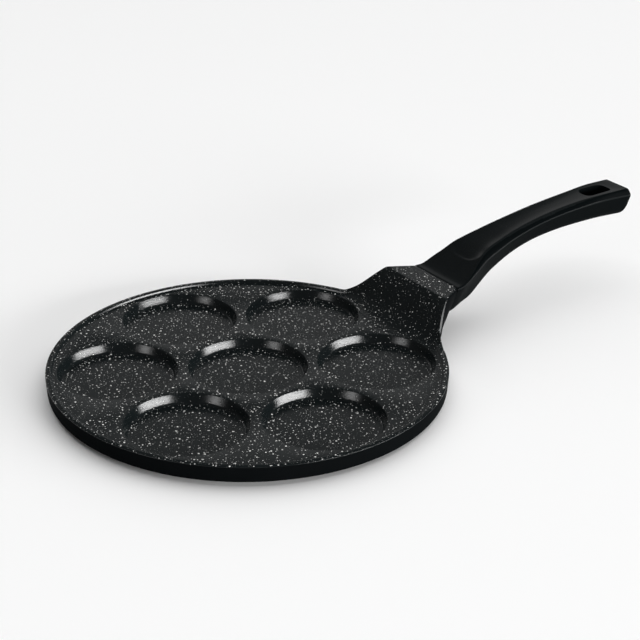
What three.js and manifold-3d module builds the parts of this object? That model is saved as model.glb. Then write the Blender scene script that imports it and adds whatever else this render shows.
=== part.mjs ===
// Pancake pan: a cast aluminium plate with seven round wells, a lug cast on its rim, an induction plate
// pressed into its underside, and a moulded handle that slips over the lug's tang and is held by one
// screw from below. Millimetres. The origin is the middle of the underside, +X runs to the handle, +Z is up.

import * as THREE from 'three';
import { mergeVertices } from 'three/addons/utils/BufferGeometryUtils.js';
import Module from 'manifold-3d';

const wasm = await Module();
wasm.setup();

// Plate and rim
const RIM_RADIUS = 130; // outer edge of the lip
const RIM_HEIGHT = 14; // top of the lip above the hob
const LIP_WIDTH = 3.6; // level top of the lip
const LIP_ROUND = 0.7; // rounded outer edge of the lip
const PLATE_DROP = 2.1; // plate's upper face below the lip
const STEP_DRAFT = 0.6; // how far the step from the plate up to the lip leans
const STEP_FILLET = 0.8; // rounded corner at the step's foot
const WALL_TAPER = 0.7; // how far the wall leans in towards its foot
const FOOT_WIDTH = 7; // sloped strip between the wall and the flat underside
const FOOT_RISE = 3.1; // height of that strip

// Wells: six about a middle one
const WELL_WEB = 6; // flat web between two neighbours
const WELL_LAND = 2; // flat strip between a well and the step's foot
const WELL_DEPTH = 6.4;
const WELL_DRAFT = 2.2; // how far the wall leans in between mouth and floor
const WELL_EDGE = 0.3; // rounded mouth
const WELL_FILLET = 1.5; // rounded corner at the floor
const OUTER_WELLS = 6;

// Lug, from the plate out to the straight seam where the handle begins.
// Its ramp and crest run straight across.
const LUG_REACH = 25.7; // rim to seam
const RAMP_FOOT = 14; // rim to the line where plate and ramp would meet, inwards
const RAMP_ROUND = 13.5; // how far the rounded foot reaches along the plate and up the ramp
const RAMP_BOW = 0.008; // how fast the foot draws back to either side, by the square of the distance
const BROW_REACH = 1; // rim to the line where the ramp eases
const BROW_HEIGHT = 29.8;
const CREST_REACH = 7.9; // rim to the line where ramp and top would meet
const CREST_HEIGHT = 34.8;
const CREST_ROUND = 0.8; // how far the rounded crest reaches along the ramp and along the top
const CREST_CORNER = 3; // bevel on the crest's two ends
const LUG_FLARE = [ // half width at distances past the rim, up to the neck
  [-28, 56], [-18, 52.5], [-10, 46.2], [-2, 39.6], [4.3, 35.2], [10.2, 32], [16.4, 29],
];
const LUG_UNDER_FLARE = [ // the same for the underside
  [-28, 48], [-11.6, 46], [-0.8, 39], [9, 29], [17.2, 21.5],
];
const LUG_UNDER_RISE = 5.5; // lug's underside above the foot of the wall, at the rim
const CORE_LENGTH = 13; // pocket cast into the lug's underside
const CORE_HALF_WIDTH = 9;
const CORE_WALL = 5.5; // metal between the pocket and the seam
const CORE_DEPTH = 13;
const CORE_CORNER = 2;

// Neck: the section that the lug and the handle share at the seam
const NECK_TOP = 34.7; // height of its upper face
const NECK_HALF_WIDTH = 23.8; // at the upper corners
const NECK_UNDER = 10.5; // height of its underside
const NECK_UNDER_HALF = 13; // half width of the underside, before its corners are rounded
const NECK_CORNER = 1.2; // small bevel on the upper corners
const UNDER_ROUND = 5; // rounded lower corners of the lug and the handle

// Handle, along its length from the seam. Lines are [run, value] points between the neck and the tip: the
// top's rise above the neck, the depth below the top, the half widths of the widest line, the top's edge
// and the underside, and the drop from the top's edge to the widest line.
const HANDLE_LENGTH = 174.3;
const TIP_BEVEL = 3.4; // length of the bevel at the top of the end
const TIP_BEVEL_DROP = 5;
const TIP_ROUND = 6.5; // rounded lower corner of the end
const TIP_RISE = 30.8; // top of the end above the neck
const TIP_DEPTH = 21.5;
const TIP_HALF_WIDTH = 13.2;
const TIP_EDGE_HALF = 10.6;
const TIP_UNDER_HALF = 8;
const TIP_WIDE_DROP = 5;
const HANDLE_RISE = [[7, 0.8], [18, 7.3], [30, 15.1], [50, 20.9], [80, 26.5], [110, 29.8], [145, 31.4]];
const HANDLE_DEPTH = [[10, 24.2], [25, 28.4], [43, 23.2], [62, 19.3], [81, 17.8], [105, 18.2], [131, 19.6]];
const HANDLE_HALF_WIDTH = [[12, 22.4], [24, 19.6], [34, 17.5], [53, 15], [73, 13.6], [100, 13], [150, 13]];
const HANDLE_EDGE_HALF = [
  [12, 20.4], [24, 16], [34, 13], [50, 11], [65, 9.5], [95, 8.3], [125, 8.7], [148, 10.5],
];
const HANDLE_WIDE_DROP = [
  [12, 1.4], [22, 3.3], [34, 4.8], [58, 3.8], [85, 3.1], [107, 3.2], [131, 3.8], [156, 4.5],
];
const HANDLE_UNDER_HALF = [[25, 10.5], [50, 8.5], [100, 7.5]];
const RECESS_START = 21.3; // rounded end of the thumb recess
const RECESS_RUN_IN = 4; // length over which the recess reaches its depth
const RECESS_DEPTH = 1.6;
const RECESS_RUN_OUT = 40; // length over which the recess gets shallower
const SLOT_DIP = 0.9; // what is left of it from there to the hang slot
const SLOT_LENGTH = 24;
const SLOT_HALF_WIDTH = 6.1;
const SLOT_CORNER = 4;
const SLOT_TO_TIP = 14.6;

// Tang, socket and fastening
const TANG_LENGTH = 30;
const TANG_WIDTH = 17;
const TANG_THICKNESS = 10;
const TANG_DROP = 10.7; // its middle below the neck's upper face, at the seam
const TANG_TILT = 22; // slope up into the handle, degrees
const TANG_ROOT = 3; // depth of its root inside the lug
const SCREW_REACH = 16; // seam to the screw, along the tang
const SCREW_RADIUS = 2.5;
const SCREW_GRIP = 9; // length of thread in the tang
const HEAD_RADIUS = 4.5;
const HEAD_HEIGHT = 3;
const HEAD_BEVEL = 1.4; // bevel round the head's crown
const POINT_BEVEL = 0.75; // bevel on the screw's end
const DRIVE_WIDTH = 1.1; // arms of the cross recess
const DRIVE_LENGTH = 5;
const DRIVE_DEPTH = 1.6;
const SEAT_WALL = 3.5; // handle wall between the tang and the washers
const WASHER_RADIUS = 5;
const WASHER_THICKNESS = 1;
const SPRING_RADIUS = 4.4;
const SPRING_THICKNESS = 1.3;
const SPRING_SPLIT = 1;
const SPRING_SLANT = 25; // slant of the split, degrees

// Induction plate, flush with the underside
const PLATE_RADIUS = 92;
const PLATE_THICKNESS = 0.9;
const HOLE_RADIUS = 2.6; // perforations
const HOLE_PITCH = 18;
const HOLE_MARGIN = 14; // plate's edge to the outermost ring of holes

// Clearance where two pieces meet, and smoothness
const FIT = 0.3;
const ROUND_STEPS = 72;
const WELL_STEPS = 36;
const SMALL_STEPS = 24;
const HOLE_STEPS = 8;
const RAMP_STEPS = [7, 5, 2]; // at the ramp's foot, brow and crest

// Sizes that follow from the ones above
const SEAM = RIM_RADIUS + LUG_REACH;
const CREST = RIM_RADIUS + CREST_REACH;
const PLATE_TOP = RIM_HEIGHT - PLATE_DROP;
const LIP_INNER = RIM_RADIUS - LIP_WIDTH;
const STEP_FOOT = LIP_INNER - STEP_DRAFT - STEP_FILLET;
const FOOT_RADIUS = RIM_RADIUS - WALL_TAPER;
const BASE_RADIUS = FOOT_RADIUS - FOOT_WIDTH;
const WELL_RADIUS = (STEP_FOOT - WELL_LAND - WELL_WEB) / 3;
const WELL_PITCH = 2 * WELL_RADIUS + WELL_WEB;
const WELL_FLOOR = PLATE_TOP - WELL_DEPTH;
const TANG_HEIGHT = NECK_TOP - TANG_DROP;
const BEYOND = 10; // cutters reach this far past what they cut

const radians = THREE.MathUtils.degToRad;
const { smoothstep, lerp } = THREE.MathUtils;

/** Closed indexed geometry made into a solid whose faces point out. */
function solid(geometry) {
  const bare = geometry.clone();
  bare.deleteAttribute('normal');
  bare.deleteAttribute('uv');
  const merged = mergeVertices(bare, 1e-4);
  const place = merged.getAttribute('position');
  const index = merged.getIndex().array;
  const triangles = [];
  const corners = [new THREE.Vector3(), new THREE.Vector3(), new THREE.Vector3()];
  let volume = 0;
  for (let i = 0; i < index.length; i += 3) {
    const [a, b, c] = [index[i], index[i + 1], index[i + 2]];
    if (a === b || b === c || c === a) continue;
    triangles.push([a, b, c]);
    [a, b, c].forEach((vertex, k) => corners[k].fromBufferAttribute(place, vertex));
    volume += corners[0].dot(corners[1].clone().cross(corners[2]));
  }
  const outward = volume > 0 ? triangles : triangles.map(([a, b, c]) => [a, c, b]);
  return new wasm.Manifold(new wasm.Mesh({
    numProp: 3,
    vertProperties: new Float32Array(place.array),
    triVerts: new Uint32Array(outward.flat()),
  }));
}

/** Geometry of a finished solid. */
function geometryOf(manifold) {
  const mesh = manifold.getMesh();
  const geometry = new THREE.BufferGeometry();
  geometry.setAttribute('position', new THREE.BufferAttribute(mesh.vertProperties, 3));
  geometry.setIndex(new THREE.BufferAttribute(mesh.triVerts, 1));
  const faceted = geometry.toNonIndexed();
  faceted.computeVertexNormals();
  return faceted;
}

/** Profile of [radius, height] points turned about the Z axis. */
function turned(profile, steps) {
  const points = profile.map(([radius, height]) => new THREE.Vector2(radius, height));
  return new THREE.LatheGeometry(points, steps).rotateX(Math.PI / 2);
}

/** Closed skin over rings that have equal numbers of points, with a fan on each end. */
function lofted(rings) {
  const count = rings[0].length;
  const positions = rings.flat().flatMap((point) => point.toArray());
  const triangles = [];
  for (let r = 0; r + 1 < rings.length; r += 1) {
    for (let k = 0; k < count; k += 1) {
      const a = r * count + k;
      const b = r * count + ((k + 1) % count);
      triangles.push(a, b, a + count, b, b + count, a + count);
    }
  }
  for (const [first, ring] of [[0, rings[0]], [(rings.length - 1) * count, rings.at(-1)]]) {
    const middle = ring.reduce((sum, point) => sum.add(point), new THREE.Vector3());
    const hub = positions.length / 3;
    positions.push(...middle.divideScalar(count).toArray());
    for (let k = 0; k < count; k += 1) {
      const rim = [first + k, first + ((k + 1) % count)];
      triangles.push(...(first === 0 ? [rim[1], rim[0]] : rim), hub);
    }
  }
  const geometry = new THREE.BufferGeometry();
  geometry.setAttribute('position', new THREE.Float32BufferAttribute(positions, 3));
  geometry.setIndex(triangles);
  return geometry;
}

/** Smooth line through [run, value] points, as a function of the run. */
function line(points) {
  const curve = new THREE.CubicInterpolant(points.map((p) => p[0]), points.map((p) => p[1]), 1);
  return (run) => curve.evaluate(run)[0];
}

/** Points of a circle about (x, y). */
function circle(x, y, radius, steps) {
  return Array.from({ length: steps }, (_, k) => {
    const angle = (2 * Math.PI * k) / steps;
    return new THREE.Vector2(x + radius * Math.cos(angle), y + radius * Math.sin(angle));
  });
}

/** Upright block with rounded corners, from one height to another, centred on x in the XZ plane. */
function roundedBlock(x, halfLength, halfWidth, corner, low, high) {
  const shape = new THREE.Shape();
  const [l, w] = [halfLength - corner, halfWidth - corner];
  shape.absarc(x + l, w, corner, 0, Math.PI / 2);
  shape.absarc(x - l, w, corner, Math.PI / 2, Math.PI);
  shape.absarc(x - l, -w, corner, Math.PI, 1.5 * Math.PI);
  shape.absarc(x + l, -w, corner, 1.5 * Math.PI, 2 * Math.PI);
  const options = { depth: high - low, bevelEnabled: false, curveSegments: 4 };
  const block = new THREE.ExtrudeGeometry(shape, options);
  return block.translate(0, 0, low);
}

/**
 * Ring of points across the lug or the handle: along the top to its edge, over a rounded flank to the
 * widest line, and down a straight side to an underside with rounded corners. Both halves are the same.
 */
function crossSection({ x, topAt, edge, wide, wideZ, under, underHalf, steps }) {
  const side = new THREE.Vector2(wide - underHalf, wideZ - under);
  const round = Math.min(UNDER_ROUND, underHalf, side.length());
  const start = side.clone().setLength(round).add(new THREE.Vector2(underHalf, under));
  const corner = new THREE.QuadraticBezierCurve(
    start,
    new THREE.Vector2(underHalf, under),
    new THREE.Vector2(underHalf - round, under),
  );
  const half = [];
  for (let k = 1; k <= steps; k += 1) {
    const y = (edge * k) / steps;
    half.push([y, topAt(y)]);
  }
  half.push([lerp(edge, wide, 0.5), lerp(topAt(edge), wideZ, 0.3)]);
  half.push([wide, wideZ]);
  half.push([lerp(wide, start.x, 0.5), lerp(wideZ, start.y, 0.5)]);
  half.push(...corner.getPoints(4).map((point) => point.toArray()));
  const mirrored = half.map(([y, z]) => [-y, z]).reverse();
  const ring = [[0, topAt(0)], ...half, [0, under], ...mirrored];
  return ring.map(([y, z]) => new THREE.Vector3(x, y, z));
}

/** Plate, rim and wall, with the pocket for the induction plate. */
function plateSolid() {
  const pocketRadius = PLATE_RADIUS + FIT;
  const pocketTop = PLATE_THICKNESS + FIT;
  const lipEdge = LIP_ROUND * (1 - Math.SQRT1_2);
  const stepBend = STEP_FILLET * (1 - Math.SQRT1_2);
  const stepWall = LIP_INNER - STEP_DRAFT;
  return solid(turned([
    [0, pocketTop],
    [pocketRadius, pocketTop],
    [pocketRadius, 0],
    [BASE_RADIUS, 0],
    [FOOT_RADIUS, FOOT_RISE],
    [RIM_RADIUS, RIM_HEIGHT - LIP_ROUND],
    [RIM_RADIUS - lipEdge, RIM_HEIGHT - lipEdge],
    [RIM_RADIUS - LIP_ROUND, RIM_HEIGHT],
    [LIP_INNER, RIM_HEIGHT],
    [stepWall, PLATE_TOP + STEP_FILLET],
    [stepWall - stepBend, PLATE_TOP + stepBend],
    [STEP_FOOT, PLATE_TOP],
    [0, PLATE_TOP],
  ], ROUND_STEPS));
}

/** Cutter for one well, with its middle at (x, y). */
function wellCutter(x, y) {
  const wallFoot = WELL_RADIUS - WELL_DRAFT;
  const bend = WELL_FILLET * (1 - Math.SQRT1_2);
  return solid(turned([
    [0, WELL_FLOOR],
    [wallFoot - WELL_FILLET, WELL_FLOOR],
    [wallFoot - bend, WELL_FLOOR + bend],
    [wallFoot, WELL_FLOOR + WELL_FILLET],
    [WELL_RADIUS - WELL_EDGE, PLATE_TOP - WELL_EDGE],
    [WELL_RADIUS, PLATE_TOP],
    [WELL_RADIUS, RIM_HEIGHT],
    [0, RIM_HEIGHT],
  ], WELL_STEPS).translate(x, y, 0));
}

/** Middles of the wells: one on the axis, the rest on a ring with the handle's line between two of them. */
function wellMiddles() {
  const step = (2 * Math.PI) / OUTER_WELLS;
  const ring = Array.from({ length: OUTER_WELLS }, (_, k) => {
    const angle = step * (k + 0.5);
    return [WELL_PITCH * Math.cos(angle), WELL_PITCH * Math.sin(angle)];
  });
  return [[0, 0], ...ring];
}

/** Points of [x, height] up the ramp: out of the plate, over the brow and round the crest. */
function rampPoints() {
  const foot = new THREE.Vector2(RIM_RADIUS - RAMP_FOOT, PLATE_TOP - FIT);
  const brow = new THREE.Vector2(RIM_RADIUS + BROW_REACH, BROW_HEIGHT);
  const crest = new THREE.Vector2(CREST, CREST_HEIGHT);
  const towards = (from, to, length) => to.clone().sub(from).setLength(length).add(from);
  const climbStart = towards(foot, brow, RAMP_ROUND);
  const climbEnd = towards(crest, brow, CREST_ROUND);
  const bends = [
    [foot.clone().setX(foot.x - RAMP_ROUND), foot, climbStart],
    [climbStart, brow, climbEnd],
    [climbEnd, crest, crest.clone().setX(CREST + CREST_ROUND)],
  ];
  const curves = bends.map((points) => new THREE.QuadraticBezierCurve(...points));
  const points = curves.flatMap((curve, k) => curve.getPoints(RAMP_STEPS[k]).slice(k === 0 ? 0 : 1));
  return points.map((point) => point.toArray());
}

/** Lug: upright sections across it, from inside the plate out to the seam. */
function lugSolid() {
  const points = rampPoints();
  const ramp = line(points);
  const halfWidth = line([...LUG_FLARE, [LUG_REACH, NECK_HALF_WIDTH]]);
  const underHalf = line([...LUG_UNDER_FLARE, [LUG_REACH, NECK_UNDER_HALF]]);
  const under = line([[0, FOOT_RISE + LUG_UNDER_RISE], [LUG_REACH, NECK_UNDER]]);
  const footStart = points[0][0];
  const footEnd = points[RAMP_STEPS[0]][0];
  const levelStart = CREST + CREST_ROUND;
  const level = [0.33, 0.67, 1];
  const places = [
    ...points.map(([x]) => x),
    ...level.map((share) => lerp(levelStart, SEAM, share)),
  ];
  const rings = places.map((x) => {
    const run = x - RIM_RADIUS;
    const past = smoothstep(x, levelStart, SEAM);
    const corner = lerp(NECK_CORNER, CREST_CORNER, smoothstep(run, 0, CREST_REACH) * (1 - past));
    const bow = RAMP_BOW * (1 - smoothstep(x, footStart, footEnd));
    const topAt = (y) => (past > 0 ? lerp(CREST_HEIGHT, NECK_TOP, past) : ramp(x - bow * y ** 2));
    const wide = halfWidth(run);
    const edge = wide - corner;
    return crossSection({
      x,
      topAt,
      edge,
      wide,
      wideZ: topAt(edge) - corner,
      under: under(run),
      underHalf: underHalf(run),
      steps: 10,
    });
  });
  const core = roundedBlock(
    SEAM - CORE_WALL - CORE_LENGTH / 2,
    CORE_LENGTH / 2,
    CORE_HALF_WIDTH,
    CORE_CORNER,
    -BEYOND,
    NECK_UNDER + CORE_DEPTH,
  );
  return solid(lofted(rings)).subtract(solid(core));
}

/** Box along the tang, in the joint's own frame: X along the tang from the seam, Z across its flat. */
function tangBox(from, to, grow) {
  const box = new THREE.BoxGeometry(to - from, TANG_WIDTH + 2 * grow, TANG_THICKNESS + 2 * grow);
  return box.translate((from + to) / 2, 0, 0);
}

const jointFrame = new THREE.Matrix4()
  .makeTranslation(SEAM, 0, TANG_HEIGHT)
  .multiply(new THREE.Matrix4().makeRotationY(-radians(TANG_TILT)));
const SEAT = -(TANG_THICKNESS / 2 + FIT + SEAT_WALL);

/** Round hole along the screw, in the joint's own frame. */
function screwHole(radius, low, high) {
  const hole = new THREE.CylinderGeometry(radius, radius, high - low, SMALL_STEPS).rotateX(Math.PI / 2);
  return hole.translate(SCREW_REACH, 0, (low + high) / 2);
}

function panBody() {
  const tang = tangBox(-TANG_ROOT, TANG_LENGTH, 0).applyMatrix4(jointFrame);
  const tapped = screwHole(SCREW_RADIUS + FIT, -TANG_THICKNESS, TANG_THICKNESS).applyMatrix4(jointFrame);
  let body = plateSolid().add(lugSolid()).add(solid(tang)).subtract(solid(tapped));
  for (const [x, y] of wellMiddles()) {
    body = body.subtract(wellCutter(x, y));
  }
  return geometryOf(body);
}

function inductionPlate() {
  const shape = new THREE.Shape(circle(0, 0, PLATE_RADIUS, ROUND_STEPS));
  const outermost = PLATE_RADIUS - HOLE_MARGIN;
  for (let radius = outermost; radius > HOLE_PITCH; radius -= HOLE_PITCH) {
    const count = Math.round((2 * Math.PI * radius) / HOLE_PITCH);
    for (const middle of circle(0, 0, radius, count)) {
      shape.holes.push(new THREE.Path(circle(middle.x, middle.y, HOLE_RADIUS, HOLE_STEPS).reverse()));
    }
  }
  const plate = new THREE.ExtrudeGeometry(shape, { depth: PLATE_THICKNESS, bevelEnabled: false });
  return geometryOf(solid(plate));
}

function handleGrip() {
  const tip = HANDLE_LENGTH - TIP_BEVEL;
  const rise = line([[0, 0], ...HANDLE_RISE, [tip, TIP_RISE]]);
  const depth = line([[0, NECK_TOP - NECK_UNDER], ...HANDLE_DEPTH, [tip, TIP_DEPTH]]);
  const wide = line([[0, NECK_HALF_WIDTH], ...HANDLE_HALF_WIDTH, [tip, TIP_HALF_WIDTH]]);
  const edge = line([[0, NECK_HALF_WIDTH - NECK_CORNER], ...HANDLE_EDGE_HALF, [tip, TIP_EDGE_HALF]]);
  const wideDrop = line([[0, NECK_CORNER], ...HANDLE_WIDE_DROP, [tip, TIP_WIDE_DROP]]);
  const underHalf = line([[0, NECK_UNDER_HALF], ...HANDLE_UNDER_HALF, [tip, TIP_UNDER_HALF]]);
  const slotEnd = HANDLE_LENGTH - SLOT_TO_TIP;
  const slotStart = slotEnd - SLOT_LENGTH;
  const dipAt = (run) => {
    const runIn = smoothstep(run, RECESS_START, RECESS_START + RECESS_RUN_IN);
    const deep = lerp(RECESS_DEPTH, SLOT_DIP, smoothstep(run, RECESS_START, RECESS_START + RECESS_RUN_OUT));
    return runIn * deep * (1 - smoothstep(run, slotEnd, tip));
  };
  const roundStart = HANDLE_LENGTH - TIP_ROUND;
  const bend = [0.03, 0.06, 0.09, 0.12, 0.15, 0.175, 0.2, 0.225, 0.25, 0.28, 0.31, 0.35, 0.4, 0.45];
  const runs = [
    FIT,
    ...bend.map((share) => share * slotStart),
    ...[0.52, 0.6, 0.68, 0.76, 0.84, 0.92, 1].map((share) => share * slotStart),
    ...[0.25, 0.5, 0.75, 1].map((share) => lerp(slotStart, slotEnd, share)),
    ...[0, 0.35, 0.65, 0.85, 1].map((share) => lerp(roundStart, HANDLE_LENGTH, share)),
    tip,
  ].sort((a, b) => a - b);
  const rings = runs.map((run) => {
    const inside = Math.min(run, tip);
    const bevel = (run - inside) / TIP_BEVEL;
    const round = Math.max(0, run - roundStart);
    const height = NECK_TOP + rise(inside);
    const width = edge(inside);
    const outer = lerp(wide(inside), width, bevel / 2);
    const topZ = height - TIP_BEVEL_DROP * bevel;
    return crossSection({
      x: SEAM + run,
      topAt: (y) => topZ - dipAt(run) * (1 - (y / width) ** 2),
      edge: width,
      wide: outer,
      wideZ: topZ - lerp(wideDrop(inside), NECK_CORNER, bevel),
      under: height - depth(inside) + TIP_ROUND - Math.sqrt(TIP_ROUND ** 2 - round ** 2),
      underHalf: underHalf(inside),
      steps: 4,
    });
  });
  const slot = roundedBlock(
    SEAM + (slotStart + slotEnd) / 2,
    SLOT_LENGTH / 2,
    SLOT_HALF_WIDTH,
    SLOT_CORNER,
    NECK_UNDER,
    NECK_TOP + 2 * TIP_RISE,
  );
  const socket = tangBox(-BEYOND, TANG_LENGTH + FIT, FIT).applyMatrix4(jointFrame);
  const passage = screwHole(SCREW_RADIUS + FIT, SEAT - BEYOND, 0).applyMatrix4(jointFrame);
  const counterbore = screwHole(WASHER_RADIUS + FIT, SEAT - 2 * BEYOND, SEAT).applyMatrix4(jointFrame);
  const cuts = [slot, socket, passage, counterbore];
  return geometryOf(cuts.reduce((body, cut) => body.subtract(solid(cut)), solid(lofted(rings))));
}

const WASHER_TOP = SEAT - FIT;
const SPRING_TOP = WASHER_TOP - WASHER_THICKNESS - FIT;
const HEAD_TOP = SPRING_TOP - SPRING_THICKNESS - FIT;

function handleScrew() {
  const crown = HEAD_TOP - HEAD_HEIGHT;
  const point = -TANG_THICKNESS / 2 + SCREW_GRIP;
  const blank = solid(turned([
    [0, crown],
    [HEAD_RADIUS - HEAD_BEVEL, crown],
    [HEAD_RADIUS, crown + HEAD_BEVEL],
    [HEAD_RADIUS, HEAD_TOP],
    [SCREW_RADIUS, HEAD_TOP],
    [SCREW_RADIUS, point - POINT_BEVEL],
    [SCREW_RADIUS - POINT_BEVEL, point],
    [0, point],
  ], SMALL_STEPS));
  const arm = new THREE.BoxGeometry(DRIVE_LENGTH, DRIVE_WIDTH, 2 * DRIVE_DEPTH).translate(0, 0, crown);
  const crossArm = arm.clone().rotateZ(Math.PI / 2);
  return geometryOf(blank.subtract(solid(arm).add(solid(crossArm))));
}

/** Flat ring about the screw, hanging down from the given height. */
function ringSolid(radius, top, thickness) {
  const bore = SCREW_RADIUS + FIT;
  return solid(turned([
    [bore, top - thickness],
    [radius, top - thickness],
    [radius, top],
    [bore, top],
    [bore, top - thickness],
  ], SMALL_STEPS));
}

function flatWasher() {
  return geometryOf(ringSolid(WASHER_RADIUS, WASHER_TOP, WASHER_THICKNESS));
}

function springWasher() {
  const split = new THREE.BoxGeometry(2 * SPRING_RADIUS, SPRING_SPLIT, 2 * BEYOND);
  split.translate(SPRING_RADIUS, 0, 0).rotateX(radians(SPRING_SLANT)).translate(0, 0, SPRING_TOP);
  return geometryOf(ringSolid(SPRING_RADIUS, SPRING_TOP, SPRING_THICKNESS).subtract(solid(split)));
}

/** Named mesh with a material of its own. */
function piece(name, geometry, color, roughness, metalness) {
  const mesh = new THREE.Mesh(geometry, new THREE.MeshStandardMaterial({ color, roughness, metalness }));
  mesh.name = name;
  return mesh;
}

const pan = new THREE.Group();
pan.name = 'pancake_pan';

const vessel = new THREE.Group();
vessel.name = 'vessel';
vessel.add(piece('pan_body', panBody(), 0x26282a, 0.45, 0));
vessel.add(piece('induction_plate', inductionPlate(), 0xb4b4b0, 0.35, 1));
pan.add(vessel);

const grip = new THREE.Group();
grip.name = 'grip';
grip.add(piece('handle_grip', handleGrip(), 0x15181a, 0.5, 0));
pan.add(grip);

const fastening = new THREE.Group();
fastening.name = 'fastening';
fastening.add(piece('handle_screw', handleScrew(), 0xbfc2c4, 0.3, 1));
fastening.add(piece('flat_washer', flatWasher(), 0xbfc2c4, 0.35, 1));
fastening.add(piece('spring_washer', springWasher(), 0x9a9c9e, 0.4, 1));
fastening.position.set(
  SEAM + SCREW_REACH * Math.cos(radians(TANG_TILT)),
  0,
  TANG_HEIGHT + SCREW_REACH * Math.sin(radians(TANG_TILT)),
);
fastening.rotation.y = -radians(TANG_TILT);
grip.add(fastening);

export default pan;
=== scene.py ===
"""Looks of a pancake pan with seven wells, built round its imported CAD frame.

Sizes are in millimetres along the frame's axes, +X towards the handle and +Z up. A mesh turns into
metres when its object is made. A turn is in degrees from the handle's line, round the pan's axis.
"""

import logging
import math
from bisect import bisect_right
from collections.abc import Callable, Sequence
from dataclasses import dataclass
from enum import Enum
from typing import Protocol

import bmesh
import bpy
import numpy as np
from bmesh.types import BMEdge, BMesh, BMFace, BMVert
from bpy.types import Material, Node, NodeSocket, NodeTree, Object
from mathutils import Matrix, Vector


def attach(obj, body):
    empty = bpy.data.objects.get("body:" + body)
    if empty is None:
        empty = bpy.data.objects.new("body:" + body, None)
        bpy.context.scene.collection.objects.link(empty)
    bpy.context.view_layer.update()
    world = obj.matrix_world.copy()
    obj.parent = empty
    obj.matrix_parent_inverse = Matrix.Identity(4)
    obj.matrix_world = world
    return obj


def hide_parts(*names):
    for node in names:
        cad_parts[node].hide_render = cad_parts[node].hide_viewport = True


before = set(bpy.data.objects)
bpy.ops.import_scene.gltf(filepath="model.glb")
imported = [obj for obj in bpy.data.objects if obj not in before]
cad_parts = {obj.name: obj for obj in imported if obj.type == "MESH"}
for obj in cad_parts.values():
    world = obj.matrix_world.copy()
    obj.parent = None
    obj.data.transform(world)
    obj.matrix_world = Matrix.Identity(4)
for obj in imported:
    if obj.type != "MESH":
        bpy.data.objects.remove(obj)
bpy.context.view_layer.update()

LOG = logging.getLogger("pancake_pan")
MM = 0.001
FIT = 0.3  # gap where two pieces meet
SHARP = 32.0  # faces that meet at more than this angle, in degrees, keep a crisp edge
TOOL_REACH = 10.0  # how far a tool stands out of the piece that it cuts
ROUND_STEPS = 48  # points round a screw, and round the hole for one
CORNER_STEPS = 8  # spans round a corner of a slot or pocket


class Skin(Enum):
    """Finish of a face on the cast pan, by its place in the pan's list of materials."""

    COAT = 0
    LACQUER = 1


class Face(Enum):
    """Finish of a face on the handle, by its place in the handle's list of materials."""

    TOP = 0
    SIDE = 1
    CREASE = 2


class Cut(Enum):
    """What a tool does to the piece it meets."""

    AWAY = "DIFFERENCE"
    JOIN = "UNION"


Points = tuple[tuple[float, float], ...]
Tool = tuple[Object, Cut]


# Curves


def lerp(low: float, high: float, share: float) -> float:
    """Value between two others."""
    return low + (high - low) * share


def smoothstep(value: float | np.ndarray, low: float, high: float) -> float | np.ndarray:
    """Soft step from 0 at low to 1 at high."""
    share = np.clip((value - low) / (high - low), 0.0, 1.0)
    return share * share * (3.0 - 2.0 * share)


def soft_max(first: float, second: float, blend: float) -> float:
    """Larger of two values, rounded where they cross."""
    return (first + second + math.hypot(first - second, blend)) / 2.0


def quarter_round(depth: float, radius: float) -> float:
    """How far a rounded edge draws in at a depth below its end, for an edge of that radius."""
    short = max(0.0, radius - depth)
    return radius - math.sqrt(radius * radius - short * short)


def turn_of(angle: float) -> float:
    """Turn, on either side of the handle's line, of an angle in radians."""
    turn = abs(math.degrees(angle))
    return min(turn, 360.0 - turn)


def bend(start: Sequence[float], corner: Sequence[float], end: Sequence[float], steps: int) -> np.ndarray:
    """Points of a curve that heads for a corner and turns there.

    Args:
        start: First point.
        corner: Point that both ends of the curve point at.
        end: Last point.
        steps: Number of spans.

    Returns:
        Rows of points, both ends included.
    """
    share = np.linspace(0.0, 1.0, steps + 1)[:, None]
    first, middle, last = (np.asarray(point, float) for point in (start, corner, end))
    return (1 - share) ** 2 * first + 2 * share * (1 - share) * middle + share**2 * last


def straight(start: Sequence[float], end: Sequence[float], steps: int) -> np.ndarray:
    """Points of a straight line, both ends included."""
    return np.linspace(np.asarray(start, float), np.asarray(end, float), steps + 1)


@dataclass(frozen=True)
class Line:
    """Smooth line through (run, value) points, level beyond its ends."""

    points: Points

    def __call__(self, run: float) -> float:
        """Value at a run.

        Args:
            run: Where on the line.

        Returns:
            Value of the cubic whose slopes at two points follow from their neighbours.
        """
        points = self.points
        run = min(max(run, points[0][0]), points[-1][0])
        k = min(max(bisect_right([p[0] for p in points], run), 1), len(points) - 1)
        (r0, v0), (r1, v1) = points[k - 1], points[k]
        before, v_before = points[k - 2] if k > 1 else (r1, v1)
        after, v_after = points[k + 1] if k + 1 < len(points) else (r0, v0)
        wb = (r1 - r0) / 2 / (r0 - before)
        wa = (r1 - r0) / 2 / (after - r1)
        p = (run - r0) / (r1 - r0)
        return (
            v_before * wb * (-(p**3) + 2 * p**2 - p)
            + v0 * ((1 + wb) * p**3 - (1.5 + 2 * wb) * p**2 + (wb - 0.5) * p + 1)
            + v1 * (-(1 + wa) * p**3 + (1.5 + wa) * p**2 + 0.5 * p)
            + v_after * wa * (p**3 - p**2)
        )


# Meshes


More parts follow.
